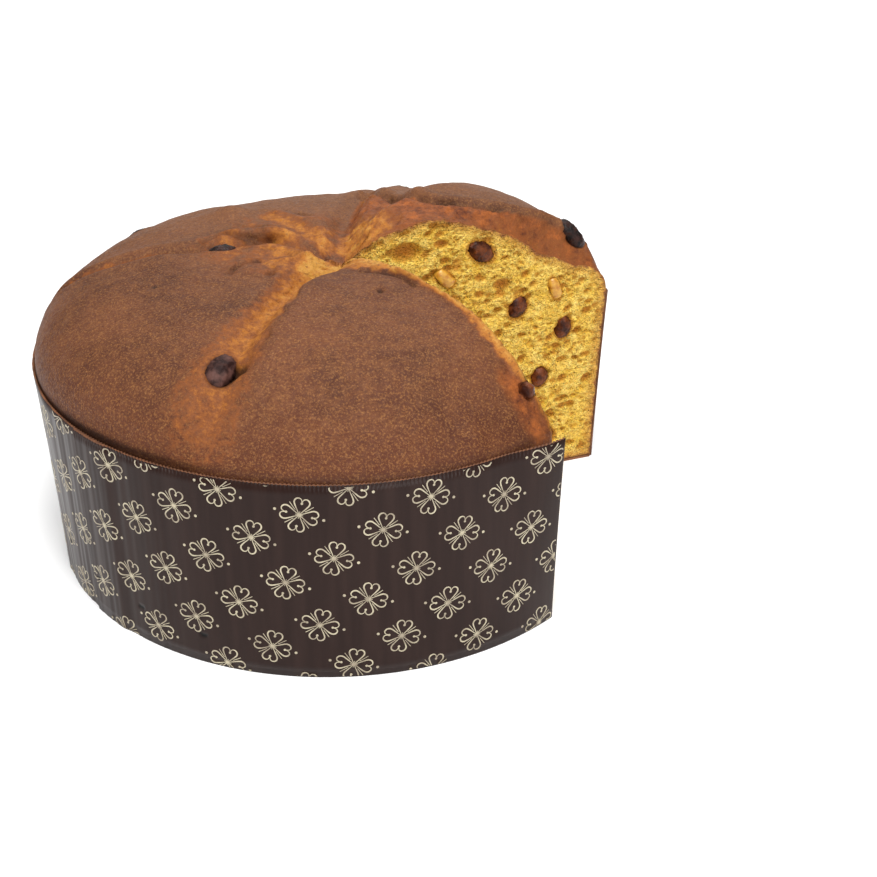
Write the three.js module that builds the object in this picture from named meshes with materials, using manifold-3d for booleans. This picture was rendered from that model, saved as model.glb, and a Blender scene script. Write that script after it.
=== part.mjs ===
// A low, wide panettone in its paper baking case, with one wedge cut out.
// Millimetres, +Z up. The cake stands on its case; -Y is the front, and the
// missing wedge opens to the front right. The origin is at the middle of the
// footprint, on the surface that the case stands on.

import * as THREE from 'three';
import { mergeVertices } from 'three/addons/utils/BufferGeometryUtils.js';
import Module from 'manifold-3d';

const wasm = await Module();
wasm.setup();

// Driving dimensions of the paper case
const CASE_FOOT_RADIUS = 105;
const CASE_RIM_RADIUS = 102.5;
const CASE_HEIGHT = 73;
const PAPER = 1.0;
const WALL_BOW = 1.3;
const LEFT_FLARE = { size: 5, deg: 192, width: 75 };
const BACK_FLARE = { size: 6, deg: 32, width: 80 };
const FOOT_PINCH = { size: 2.5, deg: 182, width: 24 };
const FLAP_FLARE = { size: 5, deg: -42, width: 15 };
const LAP_START_DEG = 219.5;
const LAP_WIDTH_DEG = 11;
const LAP_STEP = 0.6;

// Driving dimensions of the cut wedge
const NEAR_CUT_DEG = -44;
const FAR_CUT_DEG = 20;
const PAPER_OVERHANG_DEG = 0.6;
const APEX = new THREE.Vector2(2, 0);

// Driving dimensions of the loaf
const GAP = 0.3;
const LOAF_FLOOR = PAPER + GAP;
const CRUST_INSET = { size: 1.6, deg: -118, width: 45, height: 14 };
const CENTRE_RISE = 32;
const CENTRE_DIP = { depth: 3.5, reach: 17 };

// Mesh fineness, and the parts of the radius where the crown's rings lie
const SECTORS = 84;
const RAISIN_DETAIL = 1;
const SPLIT_SAMPLES = 28;
const SHOULDER_RINGS = [0.99, 0.965, 0.93, 0.885, 0.835, 0.78];
const CROWN_START = 0.72;
const CROWN_RINGS = 13;
const CROWN_LEVEL = 2;

const COLOURS = {
  crust: 0x9a5c33,
  raisin: 0x3a1d14,
  peel: 0xd98a2b,
  paper: 0x46393a,
};

// The crust rises in six lobes between the splits. Each has the azimuth where
// it starts and ends, its rise above the rim, and two powers for its fullness.
const LOBES = [
  { from: -112, to: -44, rise: 34, power: 4.6, shoulder: 1.1 },
  { from: -185, to: -112, rise: 30, power: 4.0, shoulder: 0.48 },
  { from: 125, to: 175, rise: 30, power: 3.6, shoulder: 0.47 },
  { from: 85, to: 125, rise: 30, power: 3.2, shoulder: 0.55 },
  { from: 58, to: 85, rise: 34, power: 3.6, shoulder: 0.6 },
  { from: 5, to: 58, rise: 40, power: 4.4, shoulder: 0.6 },
];
const LOBE_BLEND_DEG = 16;

// The splits in the crust, as routes in plan from the middle outwards. The
// depth and the width fade along each route. The lift raises a lip: on the
// right of the route, seen from the middle, or on the left if it is negative.
// The last one is the lip above the torn slope beside the far cut.
const SPLITS = [
  {
    route: [[0, -4], [-10, -18], [-21, -47], [-29, -72], [-38, -96]],
    depth: 5.5,
    width: 7,
    lift: -1.6,
    fade: 0.9,
  },
  {
    route: [[-6, 8], [-24, 17], [-42, 11], [-66, 9], [-86, 6], [-101, 4]],
    depth: 3.6,
    width: 4,
    lift: 1.2,
    fade: 0.35,
  },
  {
    route: [[-5, 12], [-14, 25], [-25, 36], [-34, 46]],
    depth: 3.2,
    width: 6,
    lift: 0.8,
    fade: 1.0,
  },
  {
    route: [[3, 8], [3, 31], [5, 50], [9, 68], [14, 84]],
    depth: 6,
    width: 6,
    lift: 1.5,
    fade: 0.8,
  },
  {
    route: [
      [9, 66], [17, 50], [26, 36], [35, 28.5], [47, 28.5], [58, 27.8], [68, 28.8], [78, 32.4], [88, 36],
    ],
    depth: 1.2,
    width: 2.6,
    lift: -1.8,
    fade: 0.5,
  },
];
// The lip beside a split: where it stands and how wide it is, in split widths,
// and its share on the low side
const LIP = { place: 1.7, width: 1.3, lowShare: 0.35 };
const SPLIT_TAPER = 0.45;

// The torn slope that falls from that lip to the far cut: how wide it is and
// how far it falls, at distances from the apex
const TORN_SLOPE = [
  { reach: 38, width: 16, fall: 0 },
  { reach: 50, width: 12, fall: 3.5 },
  { reach: 62, width: 7, fall: 6.8 },
  { reach: 69, width: 5, fall: 9.2 },
  { reach: 77, width: 5, fall: 13.5 },
  { reach: 91, width: 5, fall: 12.3 },
  { reach: 98, width: 5, fall: 6 },
  { reach: 104, width: 5, fall: 0 },
];
const NOTCH_FADE = { from: -25, to: -15 };

// Raised spots where fruit swells under the crust: place in plan, height, reach
const BLISTERS = [
  { at: [49, -87], height: 1.8, reach: 6 },
  { at: [-41, 45], height: 3.2, reach: 7 },
  { at: [18, -33], height: 1.0, reach: 5 },
  { at: [-22, 30], height: 1.6, reach: 6 },
];

// Raisins seen in the crust: place in plan, half sizes, turn, height proud
const CRUST_RAISINS = [
  { at: [-40, 8.5], half: [6.2, 3.4, 3.2], turnDeg: 12, proud: 3.0 },
  { at: [-31.7, -69.5], half: [5.0, 8.4, 3.6], turnDeg: -14, proud: 1.9 },
  { at: [87.3, 36.8], half: [8.6, 3.8, 3.6], turnDeg: -8, proud: 2.0 },
  { at: [-97, 4], half: [3.6, 4.6, 3.2], turnDeg: 0, proud: 1.5 },
  { at: [-78, 52], half: [5.4, 3.8, 3.2], turnDeg: 35, proud: 1.4 },
  { at: [22, 84], half: [4.6, 5.6, 3.4], turnDeg: 20, proud: 1.5 },
];

// Cut faces: raisins at fixed places as [distance from the apex, height, turn,
// half length, half width], hollows as [distance, height, half width, half
// height], and how many more pieces the seeded rule adds
const CUT_FACES = [
  {
    name: 'far',
    azimuthDeg: FAR_CUT_DEG,
    side: -1,
    raisins: [[54, 96.5, -38, 6.6, 4.4], [69, 71.5, 60, 5.4, 4.0], [88, 60, 75, 5.2, 3.8]],
    hollows: [[25, 100.5, 6.5, 4.2], [9.5, 105.5, 4.6, 2.8], [38.5, 102, 3.4, 2.0], [62.5, 82, 4.2, 2.8]],
    moreRaisins: 10,
    peels: 6,
    seed: 11,
  },
  {
    name: 'near',
    azimuthDeg: NEAR_CUT_DEG,
    side: 1,
    raisins: [[88.7, 84, -31, 5.6, 3.8]],
    hollows: [[34, 84, 4.4, 3.0], [72, 52, 3.8, 2.6], [50, 30, 4.2, 2.6]],
    moreRaisins: 12,
    peels: 6,
    seed: 29,
  },
];
const FACE_MARGIN = 13;
const FACE_SPACING = 13.5;
const MOST_TRIES = 4000;

// Fruit in the cut faces: the least half sizes, what chance adds to them, and
// how far a piece stands out of the face
const FACE_RAISIN = { half: [4.6, 3.4, 3.0], spread: [1.4, 0.9], proud: 0.9, proudSpread: 0.8 };
const FACE_PEEL = { half: [3.6, 2.0, 2.4], spread: [2.2, 0.9], proud: 0.6, proudSpread: 0.5 };
const PEEL_WEAR = 0.55;
const POCKET_GAP = GAP + 0.1;

const radians = THREE.MathUtils.degToRad;
const { smoothstep } = THREE.MathUtils;

// A repeatable sequence of numbers from 0 to 1
function makeRandom(seed) {
  let state = seed;
  return () => {
    state = (state * 16807) % 2147483647;
    return (state - 1) / 2147483646;
  };
}

// The smallest turn from one azimuth to another, in degrees, without its sign
function turnBetween(a, b) {
  const turn = Math.abs(a - b) % 360;
  return Math.min(turn, 360 - turn);
}

// The size of a local feature at an azimuth: full at its own azimuth, fading
// to nothing at its width from there
function bump(feature, deg) {
  return feature.size * (1 - smoothstep(turnBetween(deg, feature.deg), 0, feature.width));
}

// Outer radius of the paper case: it flares at the left and at the back right,
// is pinched at the left of its foot, and its free corner beside the near cut
// springs outwards
function caseRadius(deg, z) {
  const height = THREE.MathUtils.clamp(z / CASE_HEIGHT, 0, 1);
  const rim = CASE_RIM_RADIUS + bump(LEFT_FLARE, deg) + bump(BACK_FLARE, deg) + bump(FLAP_FLARE, deg);
  const foot = CASE_FOOT_RADIUS - bump(FOOT_PINCH, deg);
  return foot + (rim - foot) * height ** WALL_BOW;
}

// Radius of the loaf's side, which stays inside the paper and leaves it
// towards the rim
function loafRadius(deg, z) {
  const leave = bump(CRUST_INSET, deg) * smoothstep(z, CASE_HEIGHT - CRUST_INSET.height, CASE_HEIGHT);
  const flap = bump(FLAP_FLARE, deg) * (z / CASE_HEIGHT) ** WALL_BOW;
  return caseRadius(deg, z) - PAPER - GAP - leave - flap;
}

// Rise and fullness of the crust at an azimuth, blended where lobes meet
function lobeShape(deg) {
  const shape = { rise: 0, power: 0, shoulder: 0 };
  let total = 0;
  for (const lobe of LOBES) {
    const middle = (lobe.from + lobe.to) / 2;
    const start = (lobe.to - lobe.from - LOBE_BLEND_DEG) / 2;
    const weight = 1 - smoothstep(turnBetween(deg, middle), start, start + LOBE_BLEND_DEG);
    total += weight;
    shape.rise += lobe.rise * weight;
    shape.power += lobe.power * weight;
    shape.shoulder += lobe.shoulder * weight;
  }
  if (total === 0) return LOBES[0];
  return { rise: shape.rise / total, power: shape.power / total, shoulder: shape.shoulder / total };
}

// Each split's route as closely spaced points
const splitRoutes = SPLITS.map((split) => {
  const curve = new THREE.SplineCurve(split.route.map(([x, y]) => new THREE.Vector2(x, y)));
  return curve.getPoints(SPLIT_SAMPLES);
});

// Height that one split takes from the crust or adds to it at a place in plan
function splitRelief(index, x, y) {
  const split = SPLITS[index];
  const points = splitRoutes[index];
  let nearest = { distance: Infinity, along: 0, side: 1 };
  for (let i = 0; i < points.length - 1; i += 1) {
    const a = points[i];
    const b = points[i + 1];
    const edge = b.clone().sub(a);
    const toPlace = new THREE.Vector2(x - a.x, y - a.y);
    const t = THREE.MathUtils.clamp(toPlace.dot(edge) / edge.lengthSq(), 0, 1);
    const distance = toPlace.distanceTo(edge.clone().multiplyScalar(t));
    if (distance < nearest.distance) {
      const side = Math.sign(edge.x * toPlace.y - edge.y * toPlace.x) || 1;
      nearest = { distance, along: (i + t) / (points.length - 1), side };
    }
  }
  const strength = 1 - split.fade * nearest.along ** 1.5;
  const width = split.width * (1 - SPLIT_TAPER * nearest.along);
  const valley = -split.depth * strength * Math.exp(-((nearest.distance / width) ** 2));
  const lipPlace = (nearest.distance - LIP.place * width) / (LIP.width * width);
  const lipShare = nearest.side * Math.sign(split.lift) < 0 ? 1 : LIP.lowShare;
  const lip = Math.abs(split.lift) * strength * lipShare * Math.exp(-(lipPlace ** 2));
  return valley + lip;
}

// How far the torn slope beside the far cut lies below the crust's own rise
function tornFall(x, y) {
  const azimuth = radians(FAR_CUT_DEG);
  const reach = (x - APEX.x) * Math.cos(azimuth) + (y - APEX.y) * Math.sin(azimuth);
  const depth = (y - APEX.y) * Math.cos(azimuth) - (x - APEX.x) * Math.sin(azimuth);
  const next = TORN_SLOPE.findIndex((place) => place.reach > reach);
  if (next < 1) return 0;
  const [a, b] = [TORN_SLOPE[next - 1], TORN_SLOPE[next]];
  const part = (reach - a.reach) / (b.reach - a.reach);
  const width = THREE.MathUtils.lerp(a.width, b.width, part);
  const fall = THREE.MathUtils.lerp(a.fall, b.fall, part);
  return fall * (1 - smoothstep(depth, 0, width)) * smoothstep(depth, NOTCH_FADE.from, NOTCH_FADE.to);
}

// Height of the crust above the table at a place in plan
function crustHeight(x, y) {
  const deg = THREE.MathUtils.radToDeg(Math.atan2(y, x));
  const edge = loafRadius(deg, CASE_HEIGHT);
  const part = Math.min(Math.hypot(x, y) / edge, 1);
  const { rise, power, shoulder } = lobeShape(deg);
  const middle = smoothstep(Math.hypot(x, y), 4, 34);
  const evenRise = THREE.MathUtils.lerp(CENTRE_RISE, rise, middle);
  let height = CASE_HEIGHT + evenRise * (1 - part ** power) ** shoulder;
  const inside = 1 - smoothstep(part, 0.93, 1);
  for (let index = 0; index < SPLITS.length; index += 1) {
    height += splitRelief(index, x, y) * inside;
  }
  for (const { at, height: swell, reach } of BLISTERS) {
    height += swell * Math.exp(-(((x - at[0]) ** 2 + (y - at[1]) ** 2) / reach ** 2)) * inside;
  }
  const toCentre = Math.hypot(x - APEX.x, y - APEX.y);
  height -= CENTRE_DIP.depth * Math.exp(-((toCentre / CENTRE_DIP.reach) ** 2));
  return Math.max(height - tornFall(x, y), Math.min(height, CASE_HEIGHT));
}

// Turns a three.js geometry into a solid that can be joined and cut
function toSolid(geometry) {
  const bare = geometry.index ? geometry.toNonIndexed() : geometry.clone();
  bare.deleteAttribute('normal');
  bare.deleteAttribute('uv');
  const merged = mergeVertices(bare, 1e-4);
  return new wasm.Manifold(new wasm.Mesh({
    numProp: 3,
    vertProperties: new Float32Array(merged.attributes.position.array),
    triVerts: new Uint32Array(merged.index.array),
  }));
}

// Turns a solid back into a three.js geometry
function toGeometry(solid) {
  const mesh = solid.getMesh();
  const geometry = new THREE.BufferGeometry();
  geometry.setAttribute('position', new THREE.BufferAttribute(new Float32Array(mesh.vertProperties), 3));
  geometry.setIndex(new THREE.BufferAttribute(new Uint32Array(mesh.triVerts), 1));
  return geometry;
}

// Revolves a profile of [radius, level] pairs round +Z and moves each vertex
// to the place that the rule gives for its azimuth, radius and level
function revolve(profile, place) {
  const outline = profile.map(([r, level]) => new THREE.Vector2(r, level));
  const geometry = new THREE.LatheGeometry(outline, SECTORS);
  geometry.rotateX(Math.PI / 2);
  const position = geometry.attributes.position;
  for (let i = 0; i < position.count; i += 1) {
    const azimuth = Math.atan2(position.getY(i), position.getX(i));
    const part = Math.hypot(position.getX(i), position.getY(i));
    const { radius, z } = place(THREE.MathUtils.radToDeg(azimuth), part, position.getZ(i));
    position.setXYZ(i, radius * Math.cos(azimuth), radius * Math.sin(azimuth), z);
  }
  return toSolid(geometry);
}

// The prism that takes the wedge out, between two azimuths from the apex
function wedge(fromDeg, toDeg) {
  const reach = 260;
  const middleDeg = (fromDeg + toDeg) / 2;
  const corners = [fromDeg, middleDeg, toDeg].map((deg) => new THREE.Vector2(
    APEX.x + reach * Math.cos(radians(deg)),
    APEX.y + reach * Math.sin(radians(deg)),
  ));
  const outline = new THREE.Shape([APEX, ...corners]);
  const geometry = new THREE.ExtrudeGeometry(outline, { depth: 2 * reach, bevelEnabled: false });
  geometry.translate(0, 0, -reach);
  return toSolid(geometry);
}

// A wrinkled raisin about the origin, its half sizes along X, Y and Z
function raisinGeometry(half, seed) {
  const geometry = new THREE.IcosahedronGeometry(1, RAISIN_DETAIL);
  const position = geometry.attributes.position;
  for (let i = 0; i < position.count; i += 1) {
    const v = new THREE.Vector3().fromBufferAttribute(position, i);
    const wave = 0.07 * Math.sin(5 * v.x + 2.3 * seed) * Math.cos(4 * v.y - seed);
    const fold = 0.05 * Math.sin(6 * v.z + seed);
    v.multiplyScalar(1 + wave + fold);
    position.setXYZ(i, v.x * half[0], v.y * half[1], v.z * half[2]);
  }
  return geometry;
}

// A chunk of candied peel about the origin, a block with worn corners
function peelGeometry(half) {
  const geometry = new THREE.BoxGeometry(2, 2, 2, 2, 2, 2);
  const position = geometry.attributes.position;
  for (let i = 0; i < position.count; i += 1) {
    const v = new THREE.Vector3().fromBufferAttribute(position, i);
    v.multiplyScalar(THREE.MathUtils.lerp(1, 1.12 / v.length(), PEEL_WEAR));
    position.setXYZ(i, v.x * half[0], v.y * half[1], v.z * half[2]);
  }
  return geometry;
}

// Where a piece lies: its middle and the three directions of its half sizes
function frameMatrix(middle, along, across, out, turnDeg) {
  const turned = new THREE.Matrix4().makeRotationZ(radians(turnDeg));
  return new THREE.Matrix4().makeBasis(along, across, out).setPosition(middle).multiply(turned);
}

// A piece of fruit and the slightly larger pocket that it lies in
function fruitPiece(name, kind, half, matrix, seed) {
  const shape = (sizes) => (kind === 'peel' ? peelGeometry(sizes) : raisinGeometry(sizes, seed));
  const pocketHalf = half.map((size) => size + POCKET_GAP);
  return {
    name,
    kind,
    solid: toSolid(shape(half).applyMatrix4(matrix)),
    pocket: toSolid(shape(pocketHalf).applyMatrix4(matrix)),
  };
}

// The raisins that show in the crust, each bedded square to the surface
function crustFruit() {
  return CRUST_RAISINS.map(({ at, half, turnDeg, proud }, index) => {
    const [x, y] = at;
    const step = 1.5;
    const slopeX = (crustHeight(x + step, y) - crustHeight(x - step, y)) / (2 * step);
    const slopeY = (crustHeight(x, y + step) - crustHeight(x, y - step)) / (2 * step);
    const out = new THREE.Vector3(-slopeX, -slopeY, 1).normalize();
    const along = new THREE.Vector3(1, 0, slopeX).normalize();
    const across = out.clone().cross(along);
    const middle = new THREE.Vector3(x, y, crustHeight(x, y)).addScaledVector(out, proud - half[2]);
    const matrix = frameMatrix(middle, along, across, out, turnDeg);
    return fruitPiece(`raisin_crust_${index + 1}`, 'raisin', half, matrix, index);
  });
}

// Height of the crust over a place on a cut face, reach mm from the apex
function faceTop(face, reach) {
  const azimuth = radians(face.azimuthDeg);
  return crustHeight(APEX.x + reach * Math.cos(azimuth), APEX.y + reach * Math.sin(azimuth));
}

// Places on a cut face that keep their distance from its edges, from the fixed
// pieces and from each other
function spreadOnFace(face, count, taken, random) {
  const places = [];
  const widest = CASE_RIM_RADIUS - FACE_MARGIN;
  for (let tries = 0; places.length < count && tries < MOST_TRIES; tries += 1) {
    const reach = FACE_MARGIN + (widest - FACE_MARGIN) * random();
    const top = faceTop(face, reach) - FACE_MARGIN;
    const z = FACE_MARGIN + (top - FACE_MARGIN) * random();
    const clear = taken.every(([r, h]) => Math.hypot(r - reach, h - z) > FACE_SPACING);
    if (clear) {
      places.push([reach, z]);
      taken.push([reach, z]);
    }
  }
  return places;
}

// Sizes of one piece of fruit and how far it stands out, with their share of
// chance. The third half size, into the loaf, has none.
function chanceSizes(kind, random) {
  const length = kind.half[0] + kind.spread[0] * random();
  const width = kind.half[1] + kind.spread[1] * random();
  return { half: [length, width, kind.half[2]], proud: kind.proud + kind.proudSpread * random() };
}

// The fruit and the open hollows of one cut face
function cutFace(face) {
  const random = makeRandom(face.seed);
  const azimuth = radians(face.azimuthDeg);
  const along = new THREE.Vector3(Math.cos(azimuth), Math.sin(azimuth), 0);
  const out = new THREE.Vector3(-along.y, along.x, 0).multiplyScalar(face.side);
  const up = out.clone().cross(along);
  const point = (reach, z, depth) => new THREE.Vector3(APEX.x, APEX.y, z)
    .addScaledVector(along, reach)
    .addScaledVector(out, depth);
  const taken = [...face.raisins, ...face.hollows.map(([reach, z]) => [reach, z])];
  const raisins = [...face.raisins, ...spreadOnFace(face, face.moreRaisins, taken, random)];
  const peels = spreadOnFace(face, face.peels, taken, random);

  const fruit = raisins.map(([reach, z, fixedTurn, length, width], index) => {
    const { half: chanceHalf, proud } = chanceSizes(FACE_RAISIN, random);
    const half = [length ?? chanceHalf[0], width ?? chanceHalf[1], chanceHalf[2]];
    const middle = point(reach, z, proud - half[2]);
    const matrix = frameMatrix(middle, along, up, out, fixedTurn ?? 180 * random());
    return fruitPiece(`raisin_${face.name}_${index + 1}`, 'raisin', half, matrix, index + face.seed);
  });
  peels.forEach(([reach, z], index) => {
    const { half, proud } = chanceSizes(FACE_PEEL, random);
    const matrix = frameMatrix(point(reach, z, proud - half[2]), along, up, out, 180 * random());
    fruit.push(fruitPiece(`peel_${face.name}_${index + 1}`, 'peel', half, matrix, index));
  });
  const hollows = face.hollows.map(([reach, z, wide, high], index) => {
    const matrix = frameMatrix(point(reach, z, 0.4), along, up, out, 0);
    return toSolid(raisinGeometry([wide, high, 0.8 * high], index).applyMatrix4(matrix));
  });
  return { fruit, hollows };
}

// The loaf, crust and crumb in one, with its wedge, pockets and hollows cut
function loafSolid(cutters) {
  const underside = [[0, 0], [0.975, 0]];
  const side = [[1, 0.04], [1, 0.5], [1, 0.8], [1, 1]];
  const innerPart = (ring) => CROWN_START * (1 - ring / (CROWN_RINGS - 1));
  const innerRings = Array.from({ length: CROWN_RINGS }, (_, ring) => innerPart(ring));
  const crown = [...SHOULDER_RINGS, ...innerRings].map((part) => [part, CROWN_LEVEL]);
  const body = revolve([...underside, ...side, ...crown], (deg, part, level) => {
    if (level < CROWN_LEVEL) {
      const z = LOAF_FLOOR + level * (CASE_HEIGHT - LOAF_FLOOR);
      return { radius: part * loafRadius(deg, z), z };
    }
    const radius = part * loafRadius(deg, CASE_HEIGHT);
    const azimuth = radians(deg);
    return { radius, z: crustHeight(radius * Math.cos(azimuth), radius * Math.sin(azimuth)) };
  });
  return cutters.reduce((loaf, cutter) => loaf.subtract(cutter), body);
}

// The paper wall of the case, with the lapped strip where its ends are glued
function caseBandSolid() {
  const rows = [0, 0.25, 0.5, 0.75, 1];
  const inner = 0.5;
  const profile = [...rows.map((row) => [1, row]), ...rows.toReversed().map((row) => [inner, row]), [1, 0]];
  const ring = revolve(profile, (deg, part, level) => {
    const z = level * CASE_HEIGHT;
    const intoLap = THREE.MathUtils.euclideanModulo(deg - LAP_START_DEG, 360);
    const lap = intoLap < LAP_WIDTH_DEG ? LAP_STEP : 0;
    const outside = caseRadius(deg, z) + lap;
    return { radius: part > 0.75 ? outside : caseRadius(deg, z) - PAPER, z };
  });
  return ring.subtract(wedge(NEAR_CUT_DEG + PAPER_OVERHANG_DEG, FAR_CUT_DEG));
}

// The paper disc under the loaf, inside the foot of the wall
function caseBaseSolid() {
  const disc = revolve([[0, 0], [1, 0], [1, 1], [0, 1]], (deg, part, level) => ({
    radius: part * (caseRadius(deg, 0) - PAPER - GAP),
    z: level * PAPER,
  }));
  return disc.subtract(wedge(NEAR_CUT_DEG, FAR_CUT_DEG));
}

// One named mesh with its own material
function addMesh(group, name, solid, colour, roughness) {
  const material = new THREE.MeshStandardMaterial({ color: colour, roughness, metalness: 0 });
  const mesh = new THREE.Mesh(toGeometry(solid), material);
  mesh.name = name;
  group.add(mesh);
}

const faces = CUT_FACES.map(cutFace);
const fruit = [...faces.flatMap((face) => face.fruit), ...crustFruit()];
const cutters = [
  wedge(NEAR_CUT_DEG, FAR_CUT_DEG),
  ...faces.flatMap((face) => face.hollows),
  ...fruit.map((piece) => piece.pocket),
];

const panettone = new THREE.Group();
addMesh(panettone, 'loaf', loafSolid(cutters), COLOURS.crust, 0.75);
addMesh(panettone, 'case_band', caseBandSolid(), COLOURS.paper, 0.4);
addMesh(panettone, 'case_base', caseBaseSolid(), COLOURS.paper, 0.6);
for (const piece of fruit) {
  addMesh(panettone, piece.name, piece.solid, COLOURS[piece.kind], piece.kind === 'peel' ? 0.35 : 0.3);
}

// Brings the middle of the footprint to the origin
const footprint = new THREE.Box3().setFromObject(panettone);
const middle = footprint.getCenter(new THREE.Vector3());
panettone.position.set(-middle.x, -middle.y, 0);
panettone.updateMatrixWorld(true);

export default panettone;
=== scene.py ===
"""Looks of a cut panettone in its paper case: crust, crumb, fruit and printed paper.

Sizes are in millimetres round the cake's own axis. They become metres in the
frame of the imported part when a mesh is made.
"""

import logging
import math
from dataclasses import dataclass
from enum import Enum
from typing import ClassVar, Union

import bmesh
import bpy
import numpy as np
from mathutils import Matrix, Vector, geometry, noise
from mathutils.bvhtree import BVHTree


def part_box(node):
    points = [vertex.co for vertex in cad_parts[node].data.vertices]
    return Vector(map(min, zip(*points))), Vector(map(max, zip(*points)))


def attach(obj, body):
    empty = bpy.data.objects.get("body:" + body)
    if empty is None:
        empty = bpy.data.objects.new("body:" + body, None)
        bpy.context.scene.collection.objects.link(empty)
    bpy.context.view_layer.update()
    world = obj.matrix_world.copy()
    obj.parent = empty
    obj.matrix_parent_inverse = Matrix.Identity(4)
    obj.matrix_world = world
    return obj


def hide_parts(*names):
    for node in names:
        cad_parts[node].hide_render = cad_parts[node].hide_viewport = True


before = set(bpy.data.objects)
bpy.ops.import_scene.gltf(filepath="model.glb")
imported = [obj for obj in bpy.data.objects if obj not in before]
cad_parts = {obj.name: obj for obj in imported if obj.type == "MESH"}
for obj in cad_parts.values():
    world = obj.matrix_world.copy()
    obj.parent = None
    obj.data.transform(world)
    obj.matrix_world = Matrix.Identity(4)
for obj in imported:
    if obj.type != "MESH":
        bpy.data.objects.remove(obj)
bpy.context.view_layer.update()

LOG = logging.getLogger("panettone")
MM = 0.001
BODY = "root"

# What feeds a node's input: another node's output, a number or a hex colour.
Feed = Union[bpy.types.NodeSocket, float, str]


def smoothstep(x: np.ndarray, low: float, high: float) -> np.ndarray:
    """Smooth rise from 0 at low to 1 at high."""
    t = np.clip((np.asarray(x, float) - low) / (high - low), 0.0, 1.0)
    return t * t * (3.0 - 2.0 * t)


def turn_between(a: np.ndarray, b: float) -> np.ndarray:
    """Smallest turn between two azimuths in degrees, without its sign."""
    turn = np.abs(np.asarray(a, float) - b) % 360.0
    return np.minimum(turn, 360.0 - turn)


def azimuth_bump(deg: np.ndarray, centre: float, width: float) -> np.ndarray:
    """One at the centre azimuth, fading to nothing at the given width from it."""
    return 1.0 - smoothstep(turn_between(deg, centre), 0.0, width)


def grain(points: np.ndarray, size: float, seed: int, octaves: int = 1) -> np.ndarray:
    """Smooth seeded noise at each point, about -1 to 1.

    Args:
        points: Places in mm, one row each.
        size: Size of the largest lumps in mm.
        seed: Shifts the pattern.
        octaves: How many finer layers are added, each half the size and height.

    Returns:
        One value for each point.
    """
    total = np.zeros(len(points))
    for octave in range(octaves):
        scaled = points * (2.0 ** octave / size) + 17.3 * (seed + 5 * octave)
        layer = np.array([noise.noise(place) for place in scaled.tolist()])
        total += layer * 0.5 ** octave
    return total


def ridges(points: np.ndarray, size: float, seed: int, octaves: int = 2) -> np.ndarray:
    """Seeded noise with sharp crests, 0 in the hollows to 1 on the crests."""
    total = np.zeros(len(points))
    weight = 0.0
    for octave in range(octaves):
        layer = 1.0 - np.abs(grain(points, size / 2.0 ** octave, seed + 31 * octave)) * 2.2
        total += np.clip(layer, 0.0, 1.0) * 0.5 ** octave
        weight += 0.5 ** octave
    return total / weight


@dataclass(frozen=True)
class Route:
    """A line drawn in plan on the crust, as a smooth curve through a few points.

    Attributes:
        points: Places in plan, from the middle of the cake outwards.
    """

    points: tuple[tuple[float, float], ...]
    samples: int = 28

    def curve(self) -> np.ndarray:
        """The curve as closely spaced points, the ends held."""
        knots = np.array(self.points, float)
        places = np.linspace(0.0, len(knots) - 1, self.samples + 1)
        first = np.minimum(places.astype(int), len(knots) - 2)
        t = (places - first)[:, None]
        p0 = knots[np.where(first == 0, first, first - 1)]
        p1 = knots[first]
        p2 = knots[first + 1]
        p3 = knots[np.minimum(first + 2, len(knots) - 1)]
        v0 = (p2 - p0) * 0.5
        v1 = (p3 - p1) * 0.5
        cubic = (2 * p1 - 2 * p2 + v0 + v1) * t ** 3
        square = (-3 * p1 + 3 * p2 - 2 * v0 - v1) * t ** 2
        return cubic + square + v0 * t + p1

    def nearest(self, x: np.ndarray, y: np.ndarray) -> tuple[np.ndarray, np.ndarray, np.ndarray]:
        """Distance to the curve, the part of it passed there, and the side of it.

        Args:
            x: Places in plan, along X.
            y: Places in plan, along Y.

        Returns:
            The distance in mm, 0 to 1 along the curve, and 1 on its left or -1 on its right.
        """
        curve = self.curve()
        best = np.full(np.shape(x), np.inf)
        along = np.zeros(np.shape(x))
        side = np.ones(np.shape(x))
        for index in range(len(curve) - 1):
            start = curve[index]
            edge = curve[index + 1] - start
            to_x = x - start[0]
            to_y = y - start[1]
            t = np.clip((to_x * edge[0] + to_y * edge[1]) / (edge @ edge), 0.0, 1.0)
            distance = np.hypot(to_x - t * edge[0], to_y - t * edge[1])
            closer = distance < best
            best = np.where(closer, distance, best)
            along = np.where(closer, (index + t) / (len(curve) - 1), along)
            side = np.where(closer, np.where(edge[0] * to_y - edge[1] * to_x < 0, -1.0, 1.0), side)
        return best, along, side


@dataclass(frozen=True)
class Split:
    """A groove where the crust opened in the oven, with a lip on one side."""

    route: Route
    depth: float
    width: float
    lift: float
    fade: float

    def relief(self, x: np.ndarray, y: np.ndarray) -> np.ndarray:
        """Height in mm that the split takes from the crust or adds to it."""
        distance, along, side = self.route.nearest(x, y)
        strength = 1.0 - self.fade * along ** 1.5
        width = self.width * (1.0 - 0.45 * along)
        valley = -self.depth * strength * np.exp(-(distance / width) ** 2)
        lip_place = (distance - 1.7 * width) / (1.3 * width)
        lip_share = np.where(side * np.sign(self.lift) < 0, 1.0, 0.35)
        return valley + abs(self.lift) * strength * np.exp(-lip_place ** 2) * lip_share


@dataclass(frozen=True)
class Swelling:
    """A raised or sunken spot in the crust: its place, height and reach."""

    at: tuple[float, float]
    height: float
    reach: float

    def relief(self, x: np.ndarray, y: np.ndarray) -> np.ndarray:
        """Height in mm that the spot adds."""
        gone = (x - self.at[0]) ** 2 + (y - self.at[1]) ** 2
        return self.height * np.exp(-gone / self.reach ** 2)


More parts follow.
